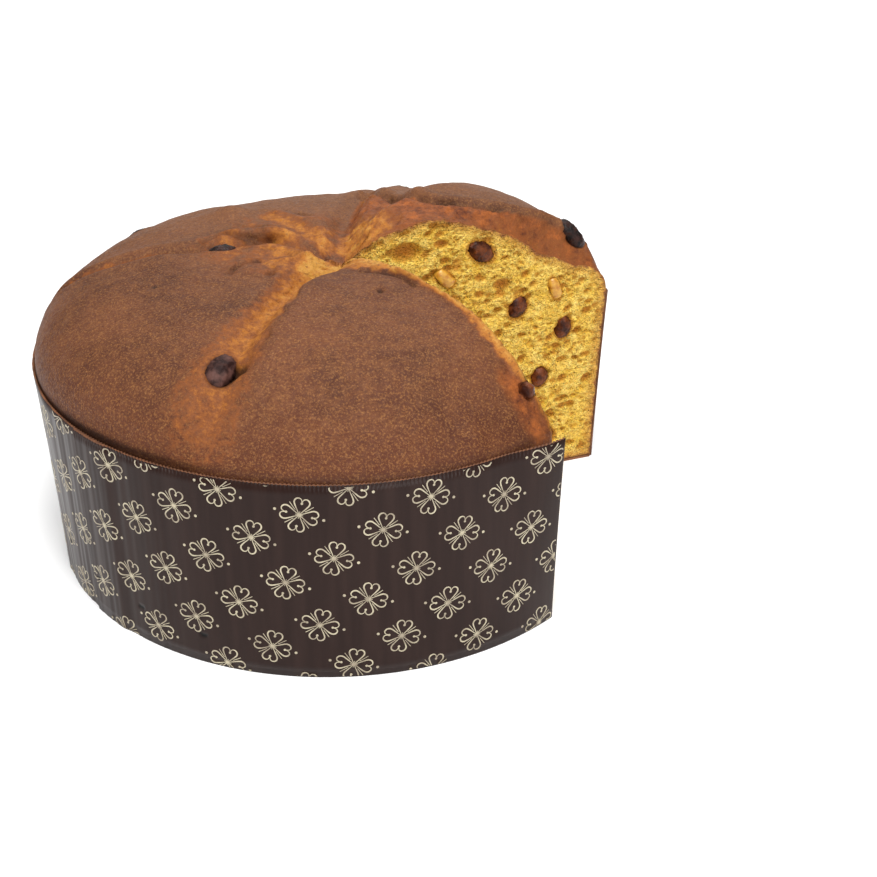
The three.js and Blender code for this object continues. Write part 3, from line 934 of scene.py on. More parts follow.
@dataclass
class Loaf:
    """The baked loaf, one closed skin: browned dome and side, two cut faces, underside."""

    columns: int = 400
    rings: int = 118
    side_rows: int = 9
    far_spacing: float = 0.66
    near_spacing: float = 0.9
    under_spacing: float = 7.0
    edge_spacing: float = 1.2
    bubbles: int = 760
    soft_height: float = 0.6
    measure_steps: int = 260
    measure_power: float = 2.2
    fruit_sink: float = 2.2
    fruit_lip: float = 0.5
    cell_shape: tuple[float, float, float] = (3.1, 2.1, 1.0)
    cell_warp: float = 1.3
    cell_depth: float = 0.75
    socket_depth: float = 2.4
    golden_middle: tuple[float, float] = (-4.0, -4.0)
    golden_patches: tuple[float, float] = (-14.0, 12.0)
    warm_middle: tuple[float, float] = (4.0, 14.0)
    # Azimuth where the painted shadow in the gap at the case is heaviest.
    rim_gap_shade_deg: float = 222.0
    crust: BakedCrust = BakedCrust()
    crumb: AiryCrumb = AiryCrumb()
    bands: tuple[Band, ...] = (
        Band(FORM.front_split.route, 6.4, 10.0, 1.6, 8.5, 0.86, 0.78, 7.0),
        Band(Route(((-58, 10), (-66, 10), (-80, 8), (-90, 7), (-101, 5))), 2.2, 1.0, 1.8, 0.6, 0.4, 0.4),
        Band(Route(((-4, 14), (-9, 22), (-17, 31), (-23, 38), (-31, 43))), 4.6, 6.4, 4.0, 5.5, 0.62, 0.3),
        Band(Route(((-8, 2), (-16, 3), (-26, 12), (-38, 10), (-50, 12))), 5.0, 6.0, 4.5, 5.5, 0.5, 0.7),
    )
    creases: tuple[Crease, ...] = (
        Crease(
            Route(((-36, -17), (-33, -7), (-29, -4), (-24, -5.5), (-20, -12), (-24, -19))), 1.0, 1.2, 0.6),
        Crease(Route(((-50, 13), (-45, 18), (-41, 20), (-36, 18), (-26, 19), (-18, 19))), 1.6, 1.3, 1.2),
        Crease(Route(((-14, -2), (-18, 4), (-26, 8), (-34, 8))), 0.9, 1.1, 0.5),
        Crease(Route(((-6, 16), (-12, 12), (-20, 13), (-28, 14))), 0.8, 1.0, 0.5),
        Crease(Route(((-8, 36), (-14, 40), (-20, 47), (-30, 52))), 1.0, 1.5, 0.9),
        Crease(Route(((9, -19), (16, -20), (24, -24), (30, -31))), 0.7, 1.0, 0.8),
        Crease(Route(((62, -58), (70, -66), (76, -72), (82, -74))), 0.8, 0.9, 0.3),
        Crease(Route(((-10, 20), (-18, 24), (-28, 25), (-38, 30))), 0.9, 1.1, 0.8),
        Crease(Route(((-2, 8), (-9, 5), (-15, -1), (-22, -2))), 0.7, 0.8, 0.9),
        Crease(FORM.torn_lip.route, 1.0, 1.0, 0.5),
        Crease(
            Route(((-9, -30), (-12.3, -44.6), (-16.3, -55.3), (-19, -62), (-24, -68.4))), 1.7, 1.0, 0.0),
        Crease(Route(((75, -71), (81, -74), (86, -76), (92, -80))), 0.9, 0.8, 0.4),
    )
    pits: tuple[Swelling, ...] = (
        Swelling((17.6, -34.8), -1.6, 1.5),
        Swelling((-23, 31), -0.8, 1.3),
        Swelling((-60, -20), -0.4, 1.4),
        Swelling((49, -85), 0.8, 3.0),
        Swelling((-26.2, -69.8), -2.4, 2.6),
    )
    swells: tuple[Swelling, ...] = (
        Swelling((15.5, 67), -2.0, 8.0),
        Swelling((33, 45), 1.5, 9.0),
        Swelling((-28, -11), 1.4, 5.0),
        Swelling((-36, 19), 1.2, 5.0),
        Swelling((-14, 26), 1.2, 4.5),
        Swelling((-20, 2), -0.9, 4.5),
        Swelling((-9, 33), 1.0, 3.5),
        Swelling((-62, 2), 1.0, 7.0),
    )
    hollows: ClassVar[dict[Cut, tuple[tuple[float, float, float, float], ...]]] = {
        Cut.FAR: (
            (25, 100.5, 6.5, 4.2), (9.5, 105.5, 4.6, 2.8), (38.5, 102, 3.4, 2.0), (62.5, 82, 4.2, 2.8)),
        Cut.NEAR: ((34, 84, 4.4, 3.0), (72, 52, 3.8, 2.6), (50, 30, 4.2, 2.6)),
    }

    def fringe(self, x: np.ndarray, y: np.ndarray) -> np.ndarray:
        """How far inside the torn golden fringe of the near cut each place lies, 0 to 1."""
        reach, depth = FORM.beside_cut(Cut.NEAR, x, y)
        near = 9.0 * (1.0 - smoothstep(reach, 8.0, 34.0))
        far = 2.6 * smoothstep(reach, 58.0, 70.0) * (1.0 - smoothstep(reach, 80.0, 92.0))
        wave = 0.8 * np.sin(reach * 0.9) + 0.5 * np.sin(reach * 2.3 + 1.0)
        width = 1.3 + near + far + wave * smoothstep(near + far, 0.3, 2.0)
        return np.clip(1.0 - np.maximum(depth, 0.0) / width, 0.0, 1.0) * (reach > -2.0) * (depth > -1.5)

    def torn_band(self, x: np.ndarray, y: np.ndarray) -> np.ndarray:
        """One on the torn slope between the far cut, its lip and the back split, nothing beyond."""
        reach, depth = FORM.beside_cut(Cut.FAR, x, y)
        distance, _, side = FORM.torn_lip.route.nearest(x, y)
        inside = smoothstep(np.where(side < 0, distance, -distance), -0.3, 0.7)
        apart, _, hand = FORM.back_split.route.nearest(x, y)
        right = smoothstep(np.where(hand < 0, apart, -apart), -1.0, 1.0)
        return inside * right * (depth > -2.0) * (depth < 62.0) * smoothstep(reach, -14.0, -8.0)

    def skin_points(self) -> tuple[np.ndarray, np.ndarray]:
        """Dome and side of the loaf as columns from the apex to the floor.

        Returns:
            The places (columns, rows, 3), and how far along its column each row lies on
            the dome (0 to 1, 1 on the side).
        """
        azimuth = np.radians(np.linspace(Cut.FAR.value, 360.0 + Cut.NEAR.value, self.columns + 1))
        way = np.stack([np.cos(azimuth), np.sin(azimuth)], 1)
        rim = self.rim_reach(way, FORM.case.height)
        fine = 1.0 - (1.0 - np.linspace(0.0, 1.0, self.measure_steps)) ** self.measure_power
        x = FORM.apex[0] + way[:, :1] * rim[:, None] * fine
        y = FORM.apex[1] + way[:, 1:] * rim[:, None] * fine
        z = FORM.crust_height(x, y)
        step = np.sqrt(np.diff(x, axis=1) ** 2 + np.diff(y, axis=1) ** 2 + np.diff(z, axis=1) ** 2)
        length = np.concatenate([np.zeros((len(way), 1)), np.cumsum(step, axis=1)], 1)
        wanted = np.linspace(0.0, 1.0, self.rings + 1)
        part = np.stack([np.interp(wanted * row[-1], row, fine) for row in length])
        x = FORM.apex[0] + way[:, :1] * rim[:, None] * part
        y = FORM.apex[1] + way[:, 1:] * rim[:, None] * part
        dome = np.stack([x, y, FORM.crust_height(x, y)], 2)
        levels = np.linspace(FORM.case.height, FORM.floor, self.side_rows + 1)[1:]
        side = []
        for z_level in levels:
            reach = self.rim_reach(way, z_level)
            side.append(np.stack([
                FORM.apex[0] + way[:, 0] * reach,
                FORM.apex[1] + way[:, 1] * reach,
                np.full(len(way), z_level),
            ], 1))
        points = np.concatenate([dome, np.stack(side, 1)], 1)
        down = np.concatenate([part, np.ones((len(way), self.side_rows))], 1)
        return points, down

    @staticmethod
    def rim_reach(way: np.ndarray, z: float, rounds: int = 12) -> np.ndarray:
        """Distance in mm from the apex to the loaf's side along each direction, by trial."""
        reach = np.full(len(way), FORM.case.rim_radius)
        for _ in range(rounds):
            x = FORM.apex[0] + way[:, 0] * reach
            y = FORM.apex[1] + way[:, 1] * reach
            wanted = FORM.side_radius(np.degrees(np.arctan2(y, x)), np.full(len(way), z))
            reach = reach + wanted - np.hypot(x, y)
        return reach

    def add_relief(self, points: np.ndarray, down: np.ndarray) -> tuple[np.ndarray, dict[str, np.ndarray]]:
        """Works the fine relief of the crust into the skin.

        Args:
            points: The smooth skin from skin_points.
            down: How far down its column each point lies.

        Returns:
            The skin with its relief, and the attributes of each point by name.
        """
        flat = points.reshape(-1, 3)
        x, y = flat[:, 0], flat[:, 1]
        wobble = 1.1 * grain(flat, 5.0, 3, 2)
        fringe = self.fringe(x, y)
        slope = self.torn_band(x, y)
        golden = np.maximum(self.golden_dough(flat, wobble, fringe), self.warm_slope(flat, slope))
        torn = self.torn_dough(flat, slope)
        rough = np.maximum(golden, 0.8 * torn)
        height, burnt = self.folds(flat, wobble)
        height += 0.34 * grain(flat, 17.0, 1, 3) + 0.12 * grain(flat, 4.5, 2, 2)
        height += rough * (1.3 * ridges(flat, 4.2, 4) - 0.8)
        height += rough * 0.3 * grain(flat, 1.7, 6, 2)
        height += fringe * 2.2 + 0.5 * fringe * ridges(flat, 2.2, 8)
        height -= 0.6 * slope
        over = np.maximum(height - self.soft_height, 0.0)
        height, burnt = self.bed_fruit(flat, height - 0.45 * over, burnt)
        # Painted shadow in the gap where the crust meets the case, heaviest at the left front.
        gap = flat[:, 2] - FORM.case.height + 0.6 * wobble
        darker = 0.3 + 0.55 * azimuth_bump(np.degrees(np.arctan2(y, x)), self.rim_gap_shade_deg, 34.0)
        burnt = np.maximum(burnt, darker * (1.0 - smoothstep(gap, 0.4, 2.6)))
        on_dome = np.tile(np.arange(points.shape[1]) <= self.rings, len(points))
        values = {
            "golden": golden * on_dome,
            "torn": torn * on_dome,
            # burnt: burnt crust round fruit, and painted shade in creases, pits and the gap at the case.
            "burnt": burnt * on_dome,
            # Painted sheen with paler baking: the crust lighter towards the back.
            "light": 0.6 * smoothstep(y, -20.0, 90.0),
            # Painted shade with deeper browning: darker and redder low on the dome.
            "low": 0.55 * (1.0 - smoothstep(flat[:, 2] + 3.0 * wobble, 74.0, 97.0)),
        }
        return self.raised(points, down, height), {
            name: np.clip(value, 0.0, 1.0) for name, value in values.items()}

    def golden_dough(self, flat: np.ndarray, wobble: np.ndarray, fringe: np.ndarray) -> np.ndarray:
        """How golden the dough is at each place apart from the torn slope, 0 to 1."""
        x, y = flat[:, 0], flat[:, 1]
        found = [band.share(x, y, wobble) for band in self.bands]
        middle = np.hypot(x - self.golden_middle[0], y - self.golden_middle[1])
        found.append(0.95 - smoothstep(middle + 2.0 * wobble, 4.0, 15.0))
        around = np.hypot((x - self.golden_patches[0]) / 1.25, y - self.golden_patches[1])
        patchy = np.clip(0.5 + 0.9 * grain(flat, 9.0, 33, 3), 0.0, 1.0)
        found.append((1.0 - smoothstep(around, 12.0, 36.0)) * patchy * 0.62)
        found.append(smoothstep(fringe, 0.02, 0.25) * (0.4 + 0.5 * fringe))
        return np.maximum(np.max(found, axis=0), 0.0)

    def torn_dough(self, flat: np.ndarray, slope: np.ndarray) -> np.ndarray:
        """How torn the crust is: on the slope by the far cut, and at the near cut's outer corner."""
        reach, depth = FORM.beside_cut(Cut.NEAR, flat[:, 0], flat[:, 1])
        corner = smoothstep(reach, 78.0, 86.0) * (1.0 - smoothstep(depth, 5.0, 13.0)) * (depth > -1.5)
        return np.maximum(slope, 0.8 * corner) * (0.8 + 0.4 * grain(flat, 4.0, 9, 2))

    def warm_slope(self, flat: np.ndarray, slope: np.ndarray) -> np.ndarray:
        """How golden the torn slope is: along the cut, near the middle and on its far flank."""
        x, y = flat[:, 0], flat[:, 1]
        _, depth = FORM.beside_cut(Cut.FAR, x, y)
        off_middle = np.hypot(x - self.warm_middle[0], y - self.warm_middle[1])
        by_cut = 0.22 * (1.0 - smoothstep(depth, 1.0, 7.0))
        middle = 0.75 * (1.0 - smoothstep(off_middle, 6.0, 26.0))
        flank = 0.45 * smoothstep(y, 34.0, 58.0) * (1.0 - smoothstep(x, 12.0, 26.0))
        warm = np.max([by_cut, middle, flank], axis=0)
        return slope * warm * (0.85 + 0.5 * grain(flat, 3.5, 19, 2))

    def folds(self, flat: np.ndarray, wobble: np.ndarray) -> tuple[np.ndarray, np.ndarray]:
        """Height in mm and darkness, 0 to 1, of the creases, swells and pits; the darkness is painted
        shade in the crease bottoms and the pits.
        """
        x, y = flat[:, 0], flat[:, 1]
        height, burnt = np.zeros(len(flat)), np.zeros(len(flat))
        uneven = np.clip(0.6 + 1.3 * grain(flat, 7.0, 51, 2), 0.1, 1.3)
        for crease in self.creases:
            distance, along, side = crease.route.nearest(x, y)
            distance = distance + 0.6 * wobble
            share = uneven * smoothstep(along, 0.0, 0.12) * (1.0 - smoothstep(along, 0.88, 1.0))
            bottom = share * np.exp(-(distance / crease.width) ** 2)
            lip = np.exp(-((distance - 1.8 * crease.width) / (1.5 * crease.width)) ** 2)
            height += 1.1 * crease.lip * share * lip * np.where(side > 0, 1.0, 0.1)
            height -= 1.4 * crease.depth * bottom
            # Painted shade in the crease bottom.
            burnt = np.maximum(burnt, 0.38 * bottom)
        for swell in self.swells:
            height += swell.relief(x, y)
        for pit in self.pits:
            shape = pit.relief(x, y)
            height += shape
            if pit.height < 0:
                # Painted shade in the pit, deepest at its middle.
                burnt = np.maximum(burnt, 0.8 * smoothstep(shape / pit.height, 0.3, 0.9))
        return height, burnt

    @staticmethod
    def raised(points: np.ndarray, down: np.ndarray, height: np.ndarray) -> np.ndarray:
        """The skin moved out by its relief.

        Args:
            points: The smooth skin.
            down: How far down its column each point lies.
            height: The relief in mm, faded here at the apex and at the rim.

        Returns:
            The places, with the edges of the cuts still in their faces.
        """
        flat = points.reshape(-1, 3)
        inside = (1.0 - smoothstep(down, 0.97, 1.0)).reshape(-1)
        inside *= smoothstep(np.hypot(flat[:, 0] - FORM.apex[0], flat[:, 1] - FORM.apex[1]), 0.5, 5.0)
        across = np.gradient(points, axis=0).reshape(-1, 3)
        outward = np.gradient(points, axis=1).reshape(-1, 3)
        normal = np.cross(outward, across)
        size = np.linalg.norm(normal, axis=1)[:, None]
        normal = np.where(size > 1e-6, normal / np.maximum(size, 1e-6), [[0.0, 0.0, 1.0]])
        moved = (flat + normal * (height * inside)[:, None]).reshape(points.shape)
        for column, cut in ((0, Cut.FAR), (-1, Cut.NEAR)):
            off = (moved[column] - points[column]) @ cut.out()
            moved[column] -= off[:, None] * cut.out()
        moved[:, 0] = moved[:, 0].mean(axis=0)
        moved[:, 0, :2] = FORM.apex
        return moved

    def bed_fruit(self, flat: np.ndarray, height: np.ndarray,
                  burnt: np.ndarray) -> tuple[np.ndarray, np.ndarray]:
        """Sinks the crust under each raisin in it and darkens its rim: burnt crust with painted shade,
        heavier on the raisin's right.
        """
        for name in sorted(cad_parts):
            if not name.startswith("raisin_crust"):
                continue
            low, high = (from_frame(corner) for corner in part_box(name))
            middle = (low + high) / 2.0
            half = np.maximum((high - low) / 2.0, 2.0)
            off = np.linalg.norm((flat - middle) / half, axis=1)
            height = height - self.fruit_sink * (1.0 - smoothstep(off, 0.68, 1.02))
            height = height + self.fruit_lip * np.exp(-((off - 1.2) / 0.16) ** 2)
            # Burnt crust round the raisin with painted shade, heavier on its right.
            shaded = 0.45 + 0.5 * smoothstep(flat[:, 0] - middle[0], -0.5 * half[0], 0.8 * half[0])
            burnt = np.maximum(burnt, shaded * (1.0 - smoothstep(off, 0.8, 1.22)))
        return height, burnt

    def pores(self, cut: Cut, outline: np.ndarray) -> list[Pore]:
        """The open bubbles of one face: the large hollows listed, the rest by a seeded rule.

        Args:
            cut: The face.
            outline: Its outline as rows of distance from the apex and height.

        Returns:
            The bubbles.
        """
        found = [Pore(r, z, wide, high, 0.0, 0.75 * high) for r, z, wide, high in self.hollows[cut]]
        random = np.random.default_rng(41 if cut is Cut.FAR else 57)
        top = outline[:, 1].max()
        for _ in range(self.bubbles):
            wide = 0.75 + 1.9 * random.random() ** 2.2
            high = wide * random.uniform(0.45, 0.8)
            found.append(Pore(
                random.uniform(2.0, 104.0), random.uniform(4.0, top), wide, high,
                random.uniform(-0.5, 0.5) + 0.25, random.uniform(0.5, 0.95) * wide))
        return found

    def face_relief(self, cut: Cut, spots: np.ndarray, edge: np.ndarray,
                    outline: np.ndarray) -> tuple[np.ndarray, np.ndarray]:
        """Depth of the crumb's relief on a cut face.

        Args:
            cut: The face.
            spots: Places on it, as distance from the apex and height.
            edge: Distance of each place from the face's outline.
            outline: The outline.

        Returns:
            The depth in mm into the loaf and the share of pore, 0 to 1, at each place; the crumb paints
            that share as shade.
        """
        reach, z = spots[:, 0], spots[:, 1]
        depth = np.zeros(len(spots))
        pore = np.zeros(len(spots))
        # The share of pore grows with each bubble's depth; the crumb paints it as shade.
        for bubble in self.pores(cut, outline):
            near = np.abs(reach - bubble.reach) < bubble.wide + 0.1
            near &= np.abs(z - bubble.z) < bubble.wide + 0.1
            if not near.any():
                continue
            fall = bubble.fall(reach[near], z[near])
            depth[near] = np.maximum(depth[near], bubble.depth * fall)
            pore[near] = np.maximum(pore[near], fall * min(1.0, 0.35 + bubble.wide / 4.5))
        solid = np.column_stack([reach, z, np.zeros(len(spots))])
        warp = np.column_stack([grain(solid, 4.0, 21), grain(solid, 4.0, 22), np.zeros(len(spots))])
        placed = (solid + self.cell_warp * warp) / np.array(self.cell_shape)
        found = [noise.voronoi(spot)[0] for spot in placed.tolist()]
        wall = smoothstep(np.array([far[1] - far[0] for far in found]), 0.05, 0.5)
        size = 0.55 + 0.9 * np.clip(0.5 + grain(solid, 7.0, 23, 2), 0.0, 1.0)
        depth = np.maximum(depth, self.cell_depth * wall * size)
        pore = np.maximum(pore, 0.5 * wall * size)
        depth += 0.25 * (0.5 + grain(solid, 9.0, 14, 2))
        fade = smoothstep(edge, 0.4, 2.4)
        depth, pore = depth * fade, pore * fade
        prefix = f"_{cut.name.lower()}_"
        for name in sorted(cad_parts):
            if prefix not in name:
                continue
            corners = np.array([from_frame(v.co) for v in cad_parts[name].data.vertices])
            flat = self.on_face(cut, corners)
            middle = flat.mean(axis=0)
            spread = np.cov((flat - middle)[:, :2].T)
            sizes, axes = np.linalg.eigh(spread)
            off = ((spots - middle[:2]) @ axes) / (1.9 * np.sqrt(sizes))
            away = np.linalg.norm(off, axis=1)
            # Each fruit sits in a socket; the crumb round it gets painted shade.
            depth = np.maximum(depth, self.socket_depth * (1.0 - smoothstep(away, 0.55, 0.86)))
            pore = np.maximum(pore, 0.8 * (1.0 - smoothstep(away, 0.8, 1.15)))
        return depth, pore

    @staticmethod
    def on_face(cut: Cut, points: np.ndarray) -> np.ndarray:
        """Places as distance along the face, height and distance out of it."""
        from_apex = points - np.array([FORM.apex[0], FORM.apex[1], 0.0])
        return np.column_stack([from_apex @ cut.along(), points[:, 2], from_apex @ cut.out()])

    @staticmethod
    def edge_distance(spots: np.ndarray, outline: np.ndarray) -> np.ndarray:
        """Distance in mm of each place from an open line of points."""
        best = np.full(len(spots), np.inf)
        for start, end in zip(outline[:-1], outline[1:]):
            edge = end - start
            size = float(edge @ edge)
            if size < 1e-12:
                continue
            t = np.clip((spots - start) @ edge / size, 0.0, 1.0)
            best = np.minimum(best, np.linalg.norm(spots - start - t[:, None] * edge, axis=1))
        return best

    @staticmethod
    def fill(outline: np.ndarray, spacing: float, inset: float) -> tuple[np.ndarray, list]:
        """Fills a closed outline with evenly spaced points and triangles.

        Args:
            outline: The closed outline, anticlockwise, its last point joined to its first.
            spacing: Distance between the points inside.
            inset: How far the points inside stay from the outline.

        Returns:
            The points inside, and triangles whose numbers count the outline first.
        """
        low, high = outline.min(axis=0), outline.max(axis=0)
        rise = spacing * math.sqrt(3.0) / 2.0
        rows = np.arange(low[1], high[1], rise)
        places = np.arange(low[0], high[0], spacing)
        grid = np.concatenate([
            np.column_stack([places + (i % 2) * spacing / 2.0, np.full(len(places), row)])
            for i, row in enumerate(rows)
        ])
        closed = np.vstack([outline, outline[:1]])
        grid = grid[Loaf.inside(grid, closed)]
        grid = grid[Loaf.edge_distance(grid, closed) > inset]
        every = np.vstack([outline, grid])
        border = [(i, (i + 1) % len(outline)) for i in range(len(outline))]
        corners = [Vector(place) for place in every.tolist()]
        result = geometry.delaunay_2d_cdt(corners, border, [], 0, 1e-9, True)
        origin = [found[0] for found in result[3]]
        triangles = np.array([[origin[i] for i in face] for face in result[2]])
        kept = Loaf.inside(every[triangles].mean(axis=1), closed)
        return grid, triangles[kept].tolist()

    @staticmethod
    def inside(spots: np.ndarray, closed: np.ndarray) -> np.ndarray:
        """Whether each place lies inside a closed line, whose last point is its first."""
        crossings = np.zeros(len(spots), int)
        for a, b in zip(closed[:-1], closed[1:]):
            spans = (a[1] > spots[:, 1]) != (b[1] > spots[:, 1])
            rise_to = b[1] - a[1] if b[1] != a[1] else 1.0
            at = a[0] + (spots[:, 1] - a[1]) / rise_to * (b[0] - a[0])
            crossings += spans & (spots[:, 0] < at)
        return crossings % 2 == 1

    def build(self) -> bpy.types.Object:
        """Makes the loaf and dresses it.

        Returns:
            The finished object.
        """
        skin, values = self.add_relief(*self.skin_points())
        columns, rows = skin.shape[:2]
        shell = Shell([*values, "pore", "skin"])
        shell.place(skin.reshape(-1, 3), **values)
        number = np.arange(columns * rows).reshape(columns, rows)
        number[:, 0] = 0
        corners = [number[:-1, :-1], number[:-1, 1:], number[1:, 1:], number[1:, :-1]]
        quads = np.stack(corners, 2).reshape(-1, 4).tolist()
        shell.cover([[i for k, i in enumerate(quad) if i != quad[k - 1]] for quad in quads], 0)
        step = self.edge_spacing
        levels = np.append(FORM.floor, np.arange(FORM.floor + step, skin[0, 0, 2] - 0.8, step))
        seam = shell.place(np.array([*FORM.apex, 0.0]) + np.outer(levels, (0.0, 0.0, 1.0)))
        far_foot = self.add_cut(shell, Cut.FAR, number[0].tolist(), seam)
        near_foot = self.add_cut(shell, Cut.NEAR, number[-1].tolist(), seam)
        under = number[:, -1].tolist() + near_foot + seam[:1] + far_foot[::-1]
        inner, triangles = self.fill(shell.at(under)[:, :2], self.under_spacing, 2.0)
        numbers = under + shell.place(np.column_stack([inner, np.full(len(inner), FORM.floor)]))
        shell.cover([[numbers[i] for i in face][::-1] for face in triangles], 0)
        piece = shell.piece("loaf_crust_and_crumb", [self.crust.material(), self.crumb.material()])
        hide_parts("loaf")
        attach(piece, BODY)
        return piece

    def add_cut(self, shell: Shell, cut: Cut, crust: list[int], seam: list[int]) -> list[int]:
        """Adds one cut face, between the crust, the underside and the seam at the apex.

        Args:
            shell: The loaf so far.
            cut: The face.
            crust: Numbers of the skin's points along it, from the apex down.
            seam: Numbers of the points at the apex, from the foot up.

        Returns:
            Numbers of the points along its foot, from the outside in.
        """
        step = self.edge_spacing
        outermost = self.on_face(cut, shell.at(crust[-1:]))[0, 0]
        steps = np.arange(outermost - step, 0.5 * step, -step)
        foot = shell.place(np.array([*FORM.apex, FORM.floor]) + steps[:, None] * cut.along())
        loop = crust + foot + seam
        outline = self.on_face(cut, shell.at(loop))[:, :2]
        skin_line = outline[:len(crust) + len(foot) + 1]
        if self.signed_area(outline) < 0:
            loop, outline = loop[::-1], outline[::-1]
        spacing = self.far_spacing if cut is Cut.FAR else self.near_spacing
        inner, triangles = self.fill(outline, spacing, 0.5)
        edge_gap = self.edge_distance(inner, np.vstack([outline, outline[:1]]))
        crust_gap = self.edge_distance(inner, skin_line)
        depth, pore = self.face_relief(cut, inner, edge_gap, outline)
        base = np.array([*FORM.apex, 0.0]) + inner[:, :1] * cut.along()
        base[:, 2] = inner[:, 1]
        numbers = loop + shell.place(base - depth[:, None] * cut.out(), pore=pore, skin=crust_gap)
        way = -1 if cut is Cut.NEAR else 1
        shell.cover([[numbers[i] for i in face][::way] for face in triangles], 1)
        return foot

    @staticmethod
    def signed_area(outline: np.ndarray) -> float:
        """Area of a closed outline, above 0 if it runs anticlockwise."""
        after = np.roll(outline, -1, axis=0)
        return float((outline[:, 0] * after[:, 1] - outline[:, 1] * after[:, 0]).sum() / 2.0)


@dataclass
class Fruit:
    """The raisins and candied peel that show in the faces and in the crust."""

    detail: int = 4
    settle: int = 4
    wrinkle: float = 0.13
    fold_size: float = 2.6
    line_size: float = 1.1
    dull_node: str = "raisin_crust_2"
    raisin: DriedRaisin = DriedRaisin()
    burnt: DriedRaisin = DriedRaisin("burnt_raisin_skin", "#0e0605", "#38211b", 0.36)
    dull: DriedRaisin = DriedRaisin("dull_raisin_skin", "#25110e", "#583a33", 0.55)
    peel: CandiedPeel = CandiedPeel()

    def build(self) -> list[bpy.types.Object]:
        """Makes every piece of fruit.

        Returns:
            One object for each fruit node of the part.
        """
        finishes = {
            "raisin": self.raisin.material(),
            "burnt": self.burnt.material(),
            "dull": self.dull.material(),
            "peel": self.peel.material(),
        }
        made = []
        for order, name in enumerate(sorted(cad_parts)):
            kind = name.split("_")[0]
            if kind in ("raisin", "peel"):
                look = self.raisin_look(name) if kind == "raisin" else kind
                made.append(self.one(name, kind, finishes[look], order))
        return made

    def raisin_look(self, node: str) -> str:
        """Which finish a raisin has: burnt in the crust and high on the near cut, dull for the one given
        node.
        """
        low, high = (from_frame(corner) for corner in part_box(node))
        x, _, z = (low + high) / 2.0
        if node == self.dull_node:
            return "dull"
        return "burnt" if "crust" in node or ("near" in node and z > 78.0 and x > 72.0) else "raisin"

    def one(self, node: str, kind: str, finish: bpy.types.Material, order: int) -> bpy.types.Object:
        """One fruit: a fine ball drawn in to its node, softened and wrinkled.

        Args:
            node: The CAD node that it stands for.
            kind: Raisin or peel.
            finish: Its material.
            order: Its number, which seeds its wrinkles.

        Returns:
            The finished object.
        """
        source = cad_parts[node].data
        corners = np.array([from_frame(v.co) for v in source.vertices])
        source.calc_loop_triangles()
        triangles = [tuple(t.vertices) for t in source.loop_triangles]
        tree = BVHTree.FromPolygons(corners.tolist(), triangles)
        middle = (corners.min(axis=0) + corners.max(axis=0)) / 2.0
        work = bmesh.new()
        bmesh.ops.create_icosphere(work, subdivisions=self.detail, radius=1.0)
        work.verts.ensure_lookup_table()
        ways = np.array([v.co.normalized() for v in work.verts])
        joined = [[e.other_vert(v).index for e in v.link_edges] for v in work.verts]
        faces = [[v.index for v in face.verts] for face in work.faces]
        work.free()
        radius = np.array([tree.ray_cast(middle.tolist(), way)[3] for way in ways.tolist()])
        for _ in range(self.settle):
            radius = np.array([0.5 * r + 0.5 * radius[ring].mean() for r, ring in zip(radius, joined)])
        size = float(radius.mean())
        if kind == "raisin":
            folds = ridges(ways * size, self.fold_size, 40 + order, 2)
            lines = ridges(ways * size, self.line_size, 90 + order, 1)
            radius = radius * (1.03 - self.wrinkle * (1.0 - folds))
            radius = radius * (1.0 - 0.05 * (1.0 - lines))
        else:
            radius = radius * (1.02 + 0.03 * grain(ways * size, 2.2, order, 2))
        piece = make_piece(f"{node}_flesh", middle + ways * radius[:, None], faces)
        piece.data.materials.append(finish)
        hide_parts(node)
        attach(piece, BODY)
        return piece


